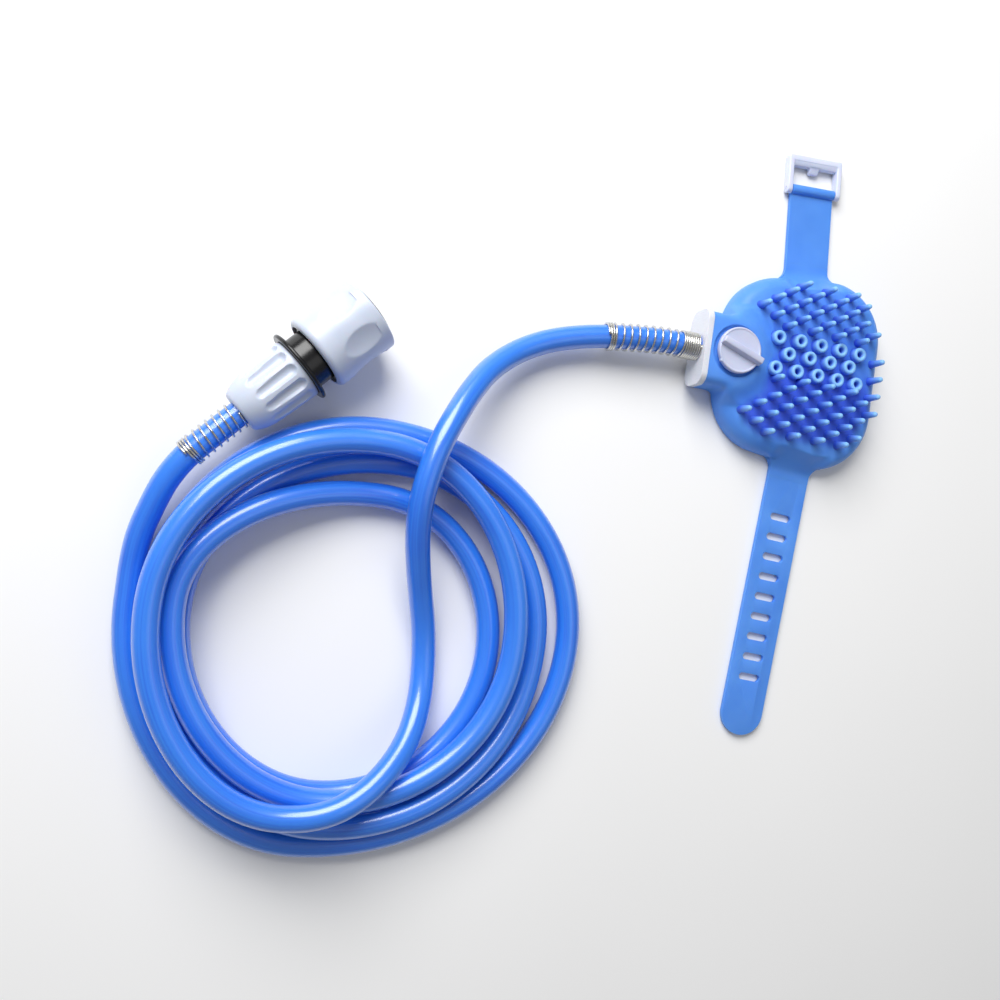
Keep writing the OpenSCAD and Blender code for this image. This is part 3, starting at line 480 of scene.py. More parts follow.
def skin_height(points):
    """The smaller of the top and the rim. The rim is a quarter round of radius e over
    the side height w: w + sqrt(e^2 - (e - d)^2), and a gentle slope further in."""
    x, y = points[:, 0], points[:, 1]
    d = to_edge(points)
    from_valve = np.where(x > VALVE_X, np.hypot(x - VALVE_X, y), np.abs(y))
    neck = NECK_H - NECK_DROP * rise(from_valve, DROP_FROM, DROP_TO)
    top = smooth_max(dome(x, y), neck, TOP_BLEND)
    beside = np.maximum(np.maximum(np.abs(y) - SHOULDER_Y, x - SHOULDER_X), 0)
    necked = 1 - rise(beside, SHOULDER_FROM, SHOULDER_TO)
    w = SIDE_H + (NECK_SIDE_H - SIDE_H) * necked
    e = EDGE_R + (NECK_EDGE_R - EDGE_R) * necked
    inner = np.minimum(d, e * (1 - RIM_SLOPE / math.hypot(1, RIM_SLOPE)))
    rim = w + np.sqrt(e**2 - (e - inner) ** 2) + RIM_SLOPE * (d - inner)
    outside = np.hypot(x, y) > np.interp(np.arctan2(y, x), fine, base_reach) + 1e-6
    ramp, near = root_ramp(points, np.where(outside, -d, d))
    rim = np.where(outside, ramp, rim - near * np.maximum(rim - ramp, 0))
    height = smooth_min(top, rim, RIM_BLEND)
    well = 1 - rise(np.hypot(x - VALVE_X, y), WELL_R, WELL_R + WELL_EDGE)
    return height - WELL_DEEP * well * (height > NECK_H - WELL_BELOW)


print("height at the middle, mm:", round(float(skin_height(np.zeros((1, 2)))[0]), 2))

# %% [markdown]
# ## The pad's skin
# Rows of points run from the middle to the outline, down the side, round the lower edge
# and up inside as a wall 3 mm thick, so the skin is one closed shell. A Solidify
# modifier could make the wall, but it would also thicken the tongues over the straps.

# %% Rows of the skin
SKIN_ROWS, SIDE_ROWS, INNER_ROWS, ROW_POWER = 96, 4, 12, 1.5
WALL, WALL_UP, FOOT_R, TONGUE_LEAST, TONGUE_LIFT = 3.0, 2.0, 0.9, 0.05, 0.06


def rings_of(scale, height):
    """Copies of the outline drawn in by each scale, at one height per row or point."""
    flat = edge[None] * np.broadcast_to(scale, (len(scale), len(edge)))[..., None]
    return np.concatenate([flat, np.broadcast_to(height, flat.shape[:2])[..., None]], -1)


reach = np.linalg.norm(edge, axis=1)
base = np.minimum(reach, np.interp(np.arctan2(edge[:, 1], edge[:, 0]), fine, base_reach))
share = 1 - (1 - np.linspace(0, 1, SKIN_ROWS + 1)[1:, None]) ** ROW_POWER
top_rows = rings_of(share, 0.0)
for row in top_rows:
    row[:, 2] = skin_height(row[:, :2])
side_z = top_rows[-1, :, 2]
drops = np.linspace(1, 0, SIDE_ROWS + 1)[1:, None]
side_rows = rings_of(np.ones((SIDE_ROWS, 1)), FOOT_R + (side_z - FOOT_R) * drops)
turn_in = np.radians([30, 60, 90])[:, None]
foot_rows = rings_of(1 - FOOT_R * (1 - np.cos(turn_in)) / reach, FOOT_R * (1 - np.sin(turn_in)))
foot_rows[..., 2] += np.where(reach > base + TONGUE_LEAST, TONGUE_LIFT, 0.0)
wall_rows = rings_of((base - np.full((2, 1), WALL)) / reach,
                     np.array([[0.0], [SIDE_H + WALL_UP]]))
inside = (base - WALL) / reach * np.linspace(1, 0, INNER_ROWS + 1)[:-1, None]
inner_rows = rings_of(inside, 0.0)
for row in inner_rows:
    row[:, 2] = skin_height(row[:, :2]) - WALL
rows = np.concatenate([top_rows, side_rows, foot_rows, wall_rows, inner_rows])
print("skin rows and columns:", rows.shape[:2])

# %% Faces of the skin
crown = np.array([[0.0, 0.0, DOME_H], [0.0, 0.0, DOME_H - WALL]])
skin_points = np.concatenate([rows.reshape(-1, 3), crown])
columns, last = len(edge), (len(rows) - 1) * len(edge)
here, following = np.arange(columns), (np.arange(columns) + 1) % columns
skin_faces = [f[::-1] for f in grid_faces(len(rows), columns)]
skin_faces += np.stack([here, following, np.full(columns, last + columns)], -1).tolist()
skin_faces += np.stack([last + following, last + here,
                        np.full(columns, last + columns + 1)], -1).tolist()
print("skin faces:", len(skin_faces))

# %% [markdown]
# ## Nubs and spray rings
# The nubs stand in a lattice of staggered rows and the rings in three short rows. Each
# kind is one profile turned round its own axis and copied to all its places in one
# step. Roots flare into the skin and tips are round, as a silicone mould leaves them.
# Instances would be lighter, but the pad is to be one mesh, as it is one moulding.


# %% Turned shapes and their copies
def turned(profile, sides):
    """Profile points (radius, height) turned round the upright axis, as a tube grid."""
    a = np.arange(sides) * 2 * math.pi / sides
    radius, height = profile[:, :1], np.broadcast_to(profile[:, 1:], (len(profile), sides))
    return np.stack([radius * np.cos(a), radius * np.sin(a), height], -1)


def copies(shape, places, frames):
    """The same grid of points at every place, turned by the place's three axes."""
    return places[:, None, None] + np.einsum("rsk,pkm->prsm", shape, frames)


def copied_faces(count, rows, sides, start):
    """Faces of that many copies of a tube grid, with a cap over the last ring."""
    one = grid_faces(rows, sides) + [list(range((rows - 1) * sides, rows * sides))]
    return [[i + start + c * rows * sides for i in f] for c in range(count) for f in one]


# %% Places of the nubs
NUB_PITCH, NUB_ROW, NUB_MID_Y = 13.7, 4.35, 0.1
NUB_ROWS, NUB_PLACES = np.arange(-8, 10), np.arange(-4, 5)
NUB_FIELD_R, NUB_FIELD_X, KNOB_R, KNOB_ROOM = 44.3, 39.0, 11.0, 1.0
LOWER_SHIFT, UPPER_SHIFT, FIRST_UPPER = np.array([-3.3, 3.6]), np.array([-0.2, 6.7]), 4
PLOT_LEFT, PLOT_RIGHT, PLOT_LOW, PLOT_HIGH = -24, 33, -8.5, 14.5

row_no, place_no = np.meshgrid(NUB_ROWS, NUB_PLACES, indexing="ij")
odd = np.abs(row_no) % 2
shift = np.where(row_no < FIRST_UPPER, LOWER_SHIFT[odd], UPPER_SHIFT[odd])
nub_x, nub_y = (shift + place_no * NUB_PITCH).ravel(), (NUB_MID_Y + row_no * NUB_ROW).ravel()
among_rings = ((nub_x > PLOT_LEFT) & (nub_x < PLOT_RIGHT)
               & (nub_y > PLOT_LOW) & (nub_y < PLOT_HIGH))
standing = ((np.hypot(nub_x, nub_y) < NUB_FIELD_R) & (nub_x < NUB_FIELD_X) & ~among_rings
            & (np.hypot(nub_x - VALVE_X, nub_y) > 2 * KNOB_R + KNOB_ROOM))
nub_x, nub_y = nub_x[standing], nub_y[standing]
nub_at = np.stack([nub_x, nub_y, skin_height(np.stack([nub_x, nub_y], -1))], -1)
print("nubs:", len(nub_at))

# %% Nubs
NUB_H, NUB_ROOT_R, NUB_TIP_R, NUB_LEAN, NUB_SIDES = 9.4, 1.9, 1.35, 2.0, 12
nub_long = dome(nub_x, nub_y) + NUB_H - nub_at[:, 2]
lean = np.radians(NUB_LEAN) * np.hypot(nub_x, nub_y) / NUB_FIELD_R
outward = unit(nub_at[:, :2])
axis = np.concatenate([outward * np.sin(lean)[:, None], np.cos(lean)[:, None]], -1)
side = unit(np.cross(axis, [0.0, 1.0, 0.0]))
frames = np.stack([side, np.cross(axis, side), axis], axis=1)
tip = np.radians([0, 35, 65])
nub_profile = np.concatenate([
    [[NUB_ROOT_R + 0.5, -0.4], [NUB_ROOT_R + 0.15, 0.3], [NUB_ROOT_R, 0.9]],
    np.stack([NUB_TIP_R * np.cos(tip), NUB_H - NUB_TIP_R * (1 - np.sin(tip))], -1)])
nub_grid = copies(turned(nub_profile, NUB_SIDES), nub_at, frames)
stretch = ((nub_long / NUB_H)[:, None] - 1) * np.clip(nub_profile[:, 1] / NUB_H, 0, 1) * NUB_H
nub_grid += stretch[:, :, None, None] * axis[:, None, None]
print("nub lengths, mm:", np.round([nub_long.min(), nub_long.max()], 1).tolist())

# %% Spray rings
RING_ROWS, RING_PITCH = ((-18.5, 11, 5), (-12.5, 3.6, 4), (-18.5, -4, 5)), 11.4
RING_R, JET_R, RING_H, RING_LIP, RING_SIDES = 3.5, 1.5, 4.4, 1.0, 24
ring_xy = np.array([[x + n * RING_PITCH, y] for x, y, count in RING_ROWS
                    for n in range(count)])
ring_at = np.concatenate([ring_xy, dome(*ring_xy.T)[:, None]], -1)
lip = np.radians([0, 30, 60, 90, 120, 150, 180])
lip_mid = JET_R + RING_LIP
ring_profile = np.concatenate([
    [[RING_R + 0.8, -0.4], [RING_R + 0.25, 0.3], [RING_R, 1.0]],
    np.stack([lip_mid + RING_LIP * np.cos(lip), RING_H - RING_LIP + RING_LIP * np.sin(lip)], -1),
    [[JET_R, 0.3], [JET_R - 0.1, 0.2]]])
upright = np.broadcast_to(np.eye(3), (len(ring_at), 3, 3))
ring_grid = copies(turned(ring_profile, RING_SIDES), ring_at, upright)
print("rings:", len(ring_at))

# %% [markdown]
# ## Joining the pad
# Skin, nubs and rings become one mesh, as they are one moulding. Their roots reach into
# the skin: a boolean union would take minutes and leave ragged faces. Two numbers go
# with each point to paint light and shade into the colour. How near a tip it is gives a
# painted light on the nubs' tips and the rings' rims. How closely the nubs crowd round
# it gives a painted shade that is full on the nubs and rings, deep in the crowded valleys
# and weaker towards the upper side of the pad.

# %% Joining the pad
SMOOTH_UNDER = math.radians(55)
start = len(skin_points)
pad_faces = skin_faces + copied_faces(len(nub_at), len(nub_profile), NUB_SIDES, start)
start += nub_grid.size // 3
pad_faces += copied_faces(len(ring_at), len(ring_profile), RING_SIDES, start)
pad_points = np.concatenate([skin_points, nub_grid.reshape(-1, 3), ring_grid.reshape(-1, 3)])
pad = put_mesh("pad", pad_points * MM, pad_faces)
pad.data.set_sharp_from_angle(angle=SMOOTH_UNDER)
stand_for(pad, "sprayer", "silicone", "glove_shell")

# %% Painted light on the tips, painted shade in the valleys
CROWD, CROWD_FROM, CROWD_TO = 4, 6.0, 9.5
LIT_SIDE_LESS_SHADE, LIT_SIDE_FROM, LIT_SIDE_TO = 0.75, -4.0, 24.0
# Painted light: this number rises up each nub and ring, and the finish paints their tips and rims
# paler by it.
painted_tip_light = np.concatenate([
    np.zeros(len(skin_points)),
    np.broadcast_to(np.clip(nub_profile[:, 1] / NUB_H, 0, 1)[None, :, None],
                    nub_grid.shape[:3]).ravel(),
    np.broadcast_to(np.clip(ring_profile[:, 1] / RING_H, 0, 1)[None, :, None],
                    ring_grid.shape[:3]).ravel()])
roots = np.concatenate([nub_at, ring_at])[None, :, :2]
to_roots = np.linalg.norm(skin_points[:, None, :2] - roots, axis=-1)
crowding = np.partition(to_roots, CROWD, axis=1)[:, :CROWD].mean(axis=1)
# Painted shade: full on every nub and ring, and on the skin where the nubs crowd, less towards
# the upper side.
painted_valley_shade = np.concatenate([(1 - rise(crowding, CROWD_FROM, CROWD_TO))
                         * (1 - LIT_SIDE_LESS_SHADE * rise(skin_points[:, 1], LIT_SIDE_FROM, LIT_SIDE_TO)),
                         np.ones(len(pad_points) - len(skin_points))])
for label, values in (("tip", painted_tip_light), ("painted_valley_shade", painted_valley_shade)):
    layer = pad.data.attributes.new(label, "FLOAT", "POINT")
    layer.data.foreach_set("value", values.astype(np.float32))
print("skin in a full valley:", int((painted_valley_shade[:len(skin_points)] > 0.9).sum()), "points")

# %% [markdown]
# ## Rounded edges
# Nothing that comes out of a mould has a razor edge. Each of these pieces could be
# modelled again, but their CAD shapes are right. So the frame's own pieces are copied,
# their loose triangles are merged into flat faces, and a narrow bevel rounds every
# edge, so that the edges catch the light.

# %% Rounded edges
MERGE, FLAT_UNDER, EDGE_OVER = 0.001 * MM, math.radians(0.5), math.radians(30.0)


def soften(node, name, body, slot, width_mm, segments=3):
    """A copy of a CAD node with merged faces and edges rounded by width_mm."""
    mesh = nodes[node].data.copy()
    shape = bmesh.new()
    shape.from_mesh(mesh)
    bmesh.ops.remove_doubles(shape, verts=shape.verts, dist=MERGE)
    bmesh.ops.dissolve_limit(shape, angle_limit=FLAT_UNDER, verts=shape.verts,
                             edges=shape.edges)
    shape.to_mesh(mesh)
    shape.free()
    piece = bpy.data.objects.new(name, mesh)
    bpy.context.scene.collection.objects.link(piece)
    mesh.polygons.foreach_set("use_smooth", [True] * len(mesh.polygons))
    bevel = piece.modifiers.new("rounded edges", "BEVEL")
    bevel.width, bevel.segments = width_mm * MM, segments
    bevel.limit_method, bevel.angle_limit = "ANGLE", EDGE_OVER
    bevel.harden_normals = True
    stand_for(piece, body, slot, node)
    return piece


inlet_plate = soften("inlet_plate", "inlet_plate_rounded", "sprayer", "pale_plastic", 1.1, 4)
long_strap = soften("long_strap", "long_strap_rounded", "sprayer", "silicone", 0.5)
short_strap = soften("short_strap", "short_strap_rounded", "sprayer", "silicone", 0.5)

# %% [markdown]
# ## The knob
# The knob is a disc with a thin raised rim, a grip bar across it and a small nib that
# points at the flow. A bevelled cube and cylinder would meet in the same way, but their
# edges would all have one width. Here the disc is a profile turned round the valve's
# axis, and the bar is one rounded cross-section carried along its length, drawn in a
# little at both ends so that the end edges are round too.

# %% Disc, bar and nib
KNOB_Z, KNOB_TURN, KNOB_COLUMNS, NIB_SIDES = 20.3, math.radians(-19), 120, 16
BAR_FROM, BAR_TO, BAR_LOW, BAR_TOP, BAR_FOOT_Z, BAR_TOP_Z = -10.6, 11.8, 2.2, 1.45, 22.6, 26.3
NIB_OUT, NIB_AT = 10.6, math.radians(-144)
bend = np.radians([0, 30, 60, 90])
rim_round = np.stack([10.3 + 0.7 * np.cos(bend), 2.3 + 0.7 * np.sin(bend)], -1)
disc = np.concatenate([[[0.05, 0.0], [10.5, 0.0], [10.85, 0.12], [11.0, 0.5]], rim_round,
                       [[10.05, 2.93], [9.85, 2.72], [9.5, 2.66], [0.05, 2.66]]])
disc_grid = turned(disc, KNOB_COLUMNS) + [0, 0, KNOB_Z]
half = np.array([[BAR_LOW, BAR_FOOT_Z], [BAR_LOW, 23.2], [BAR_LOW - 0.06, 23.45],
                 [BAR_TOP + 0.1, 25.75], [BAR_TOP - 0.05, 26.1], [BAR_TOP - 0.35, BAR_TOP_Z]])
section = np.concatenate([half, half[::-1] * [-1, 1]])
end_steps = np.array([0, 0.1, 0.3, 0.6])
bar_x = np.concatenate([BAR_FROM + end_steps, BAR_TO - end_steps[::-1]])
end_round = np.array([0.45, 0.18, 0.04, 0])
draw_in = np.concatenate([end_round, end_round[::-1]])[:, None]
bar_y = np.sign(section[:, 0]) * (np.abs(section[:, 0]) - draw_in)
bar_z = section[:, 1] - draw_in * (section[:, 1] > 25)
bar_grid = np.stack([np.broadcast_to(bar_x[:, None], bar_y.shape), bar_y, bar_z], -1)
nib = np.array([[0.8, 20.9], [0.95, 21.1], [0.95, 22.7], [0.8, 22.95], [0.4, 23.05]])
nib_grid = turned(nib, NIB_SIDES) + [NIB_OUT * math.cos(NIB_AT - KNOB_TURN),
                                     NIB_OUT * math.sin(NIB_AT - KNOB_TURN), 0]
print("knob's grids:", disc_grid.shape[:2], bar_grid.shape[:2], nib_grid.shape[:2])


# %% The knob
def put_shells(name, node, body, slot, points, faces, sharp=50):
    """A piece of closed shells that stands for a CAD node."""
    piece = put_mesh(name, points * MM, faces)
    piece.data.set_sharp_from_angle(angle=math.radians(sharp))
    stand_for(piece, body, slot, node)
    return piece


def turned_by(points, angle, to):
    """Points turned about the upright axis by an angle and then moved."""
    c, s = math.cos(angle), math.sin(angle)
    return points @ np.array([[c, s, 0], [-s, c, 0], [0, 0, 1]]) + to


knob_points, knob_faces = shells(disc_grid, bar_grid[:, ::-1], nib_grid)
knob = put_shells("knob_moulded", "knob", "valve", "knob_plastic",
                  turned_by(knob_points, KNOB_TURN, [VALVE_X, 0, 0]), knob_faces)

# %% [markdown]
# ## The plug under the knob
# The knob sits on a plug that turns in the valve's housing. Little of it shows. All of
# it is round, so one turned profile makes it, and its stem ends inside the knob's disc.

# %% The plug under the knob
plug_profile = np.array([
    [0.05, 2.75], [3, 2.75], [3, 3.05], [2.5, 3.05], [2.5, 3.95], [3, 3.95], [3, 6.05],
    [7.95, 6.05], [7.95, 16.25], [6.15, 16.25], [6.15, 18.15], [7.95, 18.15],
    [7.95, 19.6], [4, 19.6], [4, 22.6], [0.05, 22.6]])
plug_points, plug_faces = shells(turned(plug_profile, 64) + [VALVE_X, 0, 0])
plug = put_shells("valve_plug_turned", "valve_plug", "valve", "pale_plastic",
                  plug_points, plug_faces)

# %% [markdown]
# ## The buckle
# The buckle frame is a U seen from above. A curve with a bevel object could carry its
# section, but gives little say in how the section turns a corner. Here a rounded
# rectangle is carried from the end of one arm round the far bar to the end of the
# other. Near the pin the section thins to a half round. The ledge and the tooth are two
# more such bands, and their top slopes down to the tooth's end.


# %% Bands of rounded section
def band(outer, inner, low, high, round_mm):
    """A tube whose sections are rounded rectangles between paired points of an outer and
    an inner line. Each corner of a section is a quarter circle of radius e: from a side
    in by e (1 - cos a) and from the top or bottom by e (1 - sin a)."""
    a = np.radians([0, 30, 60, 90])
    near, far = round_mm * (1 - np.cos(a)), round_mm * (1 - np.sin(a))
    across = unit(inner - outer)
    flat = [outer[:, None] + across[:, None] * near[None, :, None],
            inner[:, None] - across[:, None] * near[None, ::-1, None],
            inner[:, None] - across[:, None] * near[None, :, None],
            outer[:, None] + across[:, None] * near[None, ::-1, None]]
    height = np.concatenate([high - far, high - far[::-1], low + far, low + far[::-1]])
    flat = np.concatenate(flat, axis=1)
    return np.concatenate([flat, np.broadcast_to(height, flat.shape[:2])[..., None]], -1)


def steps_along(*corners, count):
    """A number of points at even distances along a line through the corners."""
    line = np.array(corners, float)
    along = run_lengths(line)
    wanted = np.linspace(0, along[-1], count)
    return np.stack([np.interp(wanted, along, line[:, i]) for i in range(2)], -1)


# %% The frame of the buckle
PIN_Y, PIN_Z, ARM, OUT, FAR_Y, BAR_Y = 49.4, 2.4, 2.7, 15.0, 17.0, 13.8
FRAME_H, FRAME_ROUND, CORNER, INNER_CORNER, TURN_STEPS = 4.8, 0.55, 1.2, 0.5, 17
inner_x, foot_y = OUT - ARM, np.array([-2.38, -2.2, -1.8, -1.2, -0.5, 2.0, 6.0, 10.0])
a = np.radians(np.linspace(0, 90, 9))
outer_arc = np.stack([OUT - CORNER * (1 - np.cos(a)), FAR_Y - CORNER * (1 - np.sin(a))], -1)
outer_turn = steps_along([OUT, 13.3], *outer_arc, [11.8, FAR_Y], count=TURN_STEPS)
a = np.radians(np.linspace(0, 90, TURN_STEPS))
inner_turn = np.stack([inner_x - INNER_CORNER * (1 - np.cos(a)),
                       BAR_Y - INNER_CORNER * (1 - np.sin(a))], -1)


def both_sides(x, turn):
    """A line up an arm at x, round the turn to the middle, and mirrored down again."""
    half = np.concatenate([np.stack([np.full(len(foot_y), x), foot_y], -1), turn])
    return np.concatenate([half, half[::-1] * [-1, 1]])


frame_grid = band(both_sides(OUT, outer_turn), both_sides(inner_x, inner_turn), 0.0, FRAME_H,
                  FRAME_ROUND)
thin = np.sqrt(np.clip(1 - (np.minimum(frame_grid[..., 1], 0) / PIN_Z) ** 2, 0, 1))
frame_grid[..., 2] = PIN_Z + (frame_grid[..., 2] - PIN_Z) * thin
print("buckle frame, mm wide:", round(float(np.ptp(frame_grid[..., 0])), 1))

# %% The ledge and the tooth
LEDGE_Y, LEDGE_BACK, LEDGE_HALF = 11.8, 14.2, 12.6
LEDGE_LOW, LEDGE_TOP, LEDGE_ROUND, TOP_LIFT, SLOPE = 0.3, 3.6, 0.3, 1.15, 0.5
TOOTH_Y, TOOTH_HALF, TIP_R, TOOTH_FILLET = 8.9, 2.5, 1.0, 0.9
ledge_x = np.linspace(LEDGE_HALF, -LEDGE_HALF, 5)
ledge_grid = band(np.stack([ledge_x, np.full(5, LEDGE_BACK)], -1),
                  np.stack([ledge_x, np.full(5, LEDGE_Y)], -1),
                  LEDGE_LOW, LEDGE_TOP, LEDGE_ROUND)
tooth_y = TOOTH_Y + np.array([0, 0.08, 0.3, 0.6, 1.0, 1.6, 2.0, 2.3, 2.6, 2.8, 2.9, 3.4])
tip_round = TIP_R - np.sqrt(TIP_R**2 - np.clip(TIP_R - (tooth_y - TOOTH_Y), 0, TIP_R) ** 2)
root_y = np.clip(LEDGE_Y - tooth_y, 0, TOOTH_FILLET)
root_fillet = TOOTH_FILLET - np.sqrt(TOOTH_FILLET**2 - (TOOTH_FILLET - root_y) ** 2)
tooth_x = TOOTH_HALF - tip_round + root_fillet
tooth_grid = band(np.stack([tooth_x, tooth_y], -1), np.stack([-tooth_x, tooth_y], -1),
                  LEDGE_LOW, LEDGE_TOP, LEDGE_ROUND)
for grid in (ledge_grid, tooth_grid):
    share_up = (grid[..., 2] - LEDGE_LOW) / (LEDGE_TOP - LEDGE_LOW)
    grid[..., 2] += share_up * (TOP_LIFT - SLOPE * (LEDGE_BACK - grid[..., 1]))
SHORT_TURN, SHORT_AT = math.radians(SHORT_DEG), [*SHORT_ROOT, 0.0]
buckle_points, buckle_faces = shells(frame_grid, ledge_grid, tooth_grid)
buckle = put_shells("buckle_moulded", "buckle_frame", "buckle", "buckle_plastic",
                    turned_by(buckle_points + [0, PIN_Y, 0], SHORT_TURN, SHORT_AT),
                    buckle_faces, 45)

# %% [markdown]
# ## The connector's nut and sleeve
# Both are turned shapes with hollows for the fingers: a profile r(u) along the
# connector's line, less flutes or thumb dimples. Cutting them with booleans would leave
# long thin faces. A hollow is where the surface meets a ball or a rod, so its radius
# follows from the ball's place and size at every point of the grid.

# %% Rings along the connector's line
TURNED_COLUMNS, TURNED_SMOOTH, MISSED = 216, math.radians(40), 1e3
LINE_SIDE = np.array([-LINE_DIR[1], LINE_DIR[0], 0.0])
LINE_UP = np.array([0.0, 0.0, 1.0])


def lathed(u, radius):
    """Points at the distance u along the connector's line and the radius from it; the
    columns go round and start at the underside."""
    a = np.arange(radius.shape[1]) * 2 * math.pi / radius.shape[1] + math.pi
    round_it = (np.cos(a)[None, :, None] * LINE_UP + np.sin(a)[None, :, None] * LINE_SIDE)
    centre = NUT_AT + np.asarray(u)[:, None, None] * LINE_DIR
    return centre + radius[..., None] * round_it


def put_ring(name, node, body, slot, u, radius):
    """A closed ring: the rows of the profile close on themselves as the columns do."""
    grid = lathed(u, radius)
    rows, columns = grid.shape[:2]
    here, following = np.arange(columns), (np.arange(columns) + 1) % columns
    last = (rows - 1) * columns
    back = np.stack([last + here, last + following, following, here], -1).tolist()
    piece = put_mesh(name, grid.reshape(-1, 3) * MM, grid_faces(rows, columns) + back)
    piece.data.set_sharp_from_angle(angle=TURNED_SMOOTH)
    stand_for(piece, body, slot, node)
    return piece


def hollow(u, angle, count, first, middle, ball, u_from, u_to):
    """Radius at which a ray from the line meets the nearest of count rods with round
    ends: r = m cos t - sqrt(ball^2 - past^2 - (m sin t)^2), and MISSED, which is far
    outside, where it misses."""
    step = 2 * math.pi / count
    t = (angle - first + step / 2) % step - step / 2
    past = np.maximum(np.maximum(u_from - u, u - u_to), 0)[:, None]
    room = ball**2 - past**2 - (middle * np.sin(t)[None]) ** 2
    return np.where(room > 0, middle * np.cos(t)[None] - np.sqrt(np.maximum(room, 0)), MISSED)


# %% The clamp nut
NUT_L, NUT_REAR_R, NUT_SWELL, NUT_SWELL_L, NUT_TAPER, NUT_ROUND = 31.0, 9.1, 3.9, 5.5, 0.7, 0.8
FLUTES, FLUTE_FROM, FLUTE_TO, FLUTE_BLEND = 12, 11.0, 26.2, 0.2
FLUTE_ROD, FLUTE_DEEP, FLUTE_TOP_R = 2.75, 1.7, 13.3
nut_u = np.concatenate([[0.0, 0.15, 0.5, 1.0], np.linspace(1.5, 9.5, 12),
                        np.linspace(10, 29, 40), [30.2, 30.75, 31.0]])
nut_swell = (NUT_REAR_R + NUT_SWELL * (1 - np.exp(-nut_u / NUT_SWELL_L))
             + NUT_TAPER * nut_u / NUT_L)
rear_in = 1 - np.clip(nut_u, 0, 1)
front_in = np.clip(nut_u - (NUT_L - NUT_ROUND), 0, NUT_ROUND)
nut_edge = NUT_ROUND * (1.0 - np.sqrt(np.clip(1 - rear_in**2, 0, 1)))
nut_front = NUT_ROUND - np.sqrt(np.clip(NUT_ROUND**2 - front_in**2, 0, 1))
nut_out = nut_swell - nut_edge - nut_front
angles = np.arange(TURNED_COLUMNS) * 2 * math.pi / TURNED_COLUMNS
flutes = hollow(nut_u, angles, FLUTES, 0.0, FLUTE_TOP_R - FLUTE_DEEP + FLUTE_ROD, FLUTE_ROD,
                FLUTE_FROM, FLUTE_TO)
nut_outside = smooth_min(np.broadcast_to(nut_out[:, None], flutes.shape), flutes, FLUTE_BLEND)
nut_inside = np.array([[31.0, 10.45], [18.0, 10.45], [18.0, 8.42], [6.0, 6.72],
                       [4.0, 6.72], [4.0, 5.8], [0.0, 5.8]])
nut = put_ring("clamp_nut_turned", "clamp_nut", "sprayer", "connector_plastic",
               np.concatenate([nut_u, nut_inside[:, 0]]),
               np.concatenate([nut_outside, np.repeat(nut_inside[:, 1:], TURNED_COLUMNS, 1)]))
print("nut rows:", len(nut_u))

# %% The release sleeve
SLEEVE_R, SLEEVE_FROM, SLEEVE_TO, REAR_ROUND, LIP_ROUND = 17.3, 40.0, 70.2, 2.7, 0.8
DIMPLES, DIMPLE_FIRST, DIMPLE_BLEND = 6, math.radians(30), 0.15
DIMPLE_DEEP, DIMPLE_BALL, DIMPLE_AT, DIMPLE_CUT = 1.3, 36.0, 58.0, 65.9
quarter = np.radians(np.linspace(0, 90, 7))
sleeve_middle = np.concatenate([np.linspace(43.2, 65.8, 44), [66.05, 67.2, 68.6]])
sleeve_u = np.concatenate([SLEEVE_FROM + REAR_ROUND * (1 - np.cos(quarter)), sleeve_middle,
                           SLEEVE_TO - LIP_ROUND * (1 - np.sin(quarter[::2]))])
sleeve_out = np.concatenate([SLEEVE_R - REAR_ROUND * (1 - np.sin(quarter)),
                             np.full(len(sleeve_middle), SLEEVE_R),
                             SLEEVE_R - LIP_ROUND * (1 - np.cos(quarter[::2]))])
dimples = hollow(sleeve_u, angles, DIMPLES, DIMPLE_FIRST,
                 SLEEVE_R - DIMPLE_DEEP + DIMPLE_BALL, DIMPLE_BALL, DIMPLE_AT, DIMPLE_AT)
dimples[sleeve_u > DIMPLE_CUT] = MISSED
sleeve_outside = smooth_min(np.broadcast_to(sleeve_out[:, None], dimples.shape), dimples,
                            DIMPLE_BLEND)
sleeve_inside = np.array([[70.2, 15.3], [68.6, 14.1], [58.0, 14.1], [58.0, 12.3],
                          [56.0, 12.3], [56.0, 14.5], [40.0, 14.5]])
sleeve = put_ring("release_sleeve_turned", "release_sleeve", "sleeve", "connector_plastic",
                  np.concatenate([sleeve_u, sleeve_inside[:, 0]]),
                  np.concatenate([sleeve_outside,
                                  np.repeat(sleeve_inside[:, 1:], TURNED_COLUMNS, 1)]))
print("sleeve rows:", len(sleeve_u))

# %% [markdown]
# ## The nose ring
# A black ring closes the connector's mouth inside the sleeve. It is a turned part with
# softly rounded rims, and one closed profile of nine points gives all of it.

# %% The nose ring
NOSE_COLUMNS = 96
nose_ur = np.array([[58.3, 9.8], [58.3, 13.8], [70.5, 13.8], [71.0, 13.65], [71.2, 13.3],
                    [71.2, 9.8], [70.9, 9.45], [70.4, 9.3], [58.8, 9.3]])
nose_ring = put_ring("nose_ring_turned", "nose_ring", "sprayer", "black_plastic",
                     nose_ur[:, 0], np.repeat(nose_ur[:, 1:], NOSE_COLUMNS, 1))

# %% [markdown]
# ## The hose's thickness
# The hose is 11 mm thick.

# %% The hose's thickness
print("hose declared, mm thick:", round(HOSE_D / MM, 1))

# %% [markdown]
# ## Finishes
# Each finish starts from what the real thing is made of. Image textures would need
# pictures of each surface, so every pattern here is worked out from noise instead, at a
# scale in millimetres. Colours are given as sRGB hex values, as a paint card would, and
# one function turns them to linear light.


# %% Colours, nodes and grain
def linear(hex_colour):
    """sRGB hex to linear: below 0.04045 divide by 12.92, above it take
    ((c + 0.055) / 1.055) to the power 2.4."""
    c = np.array([int(hex_colour[i:i + 2], 16) / 255 for i in (1, 3, 5)])
    c = np.where(c <= 0.04045, c / 12.92, ((c + 0.055) / 1.055) ** 2.4)
    return (*c.tolist(), 1.0)


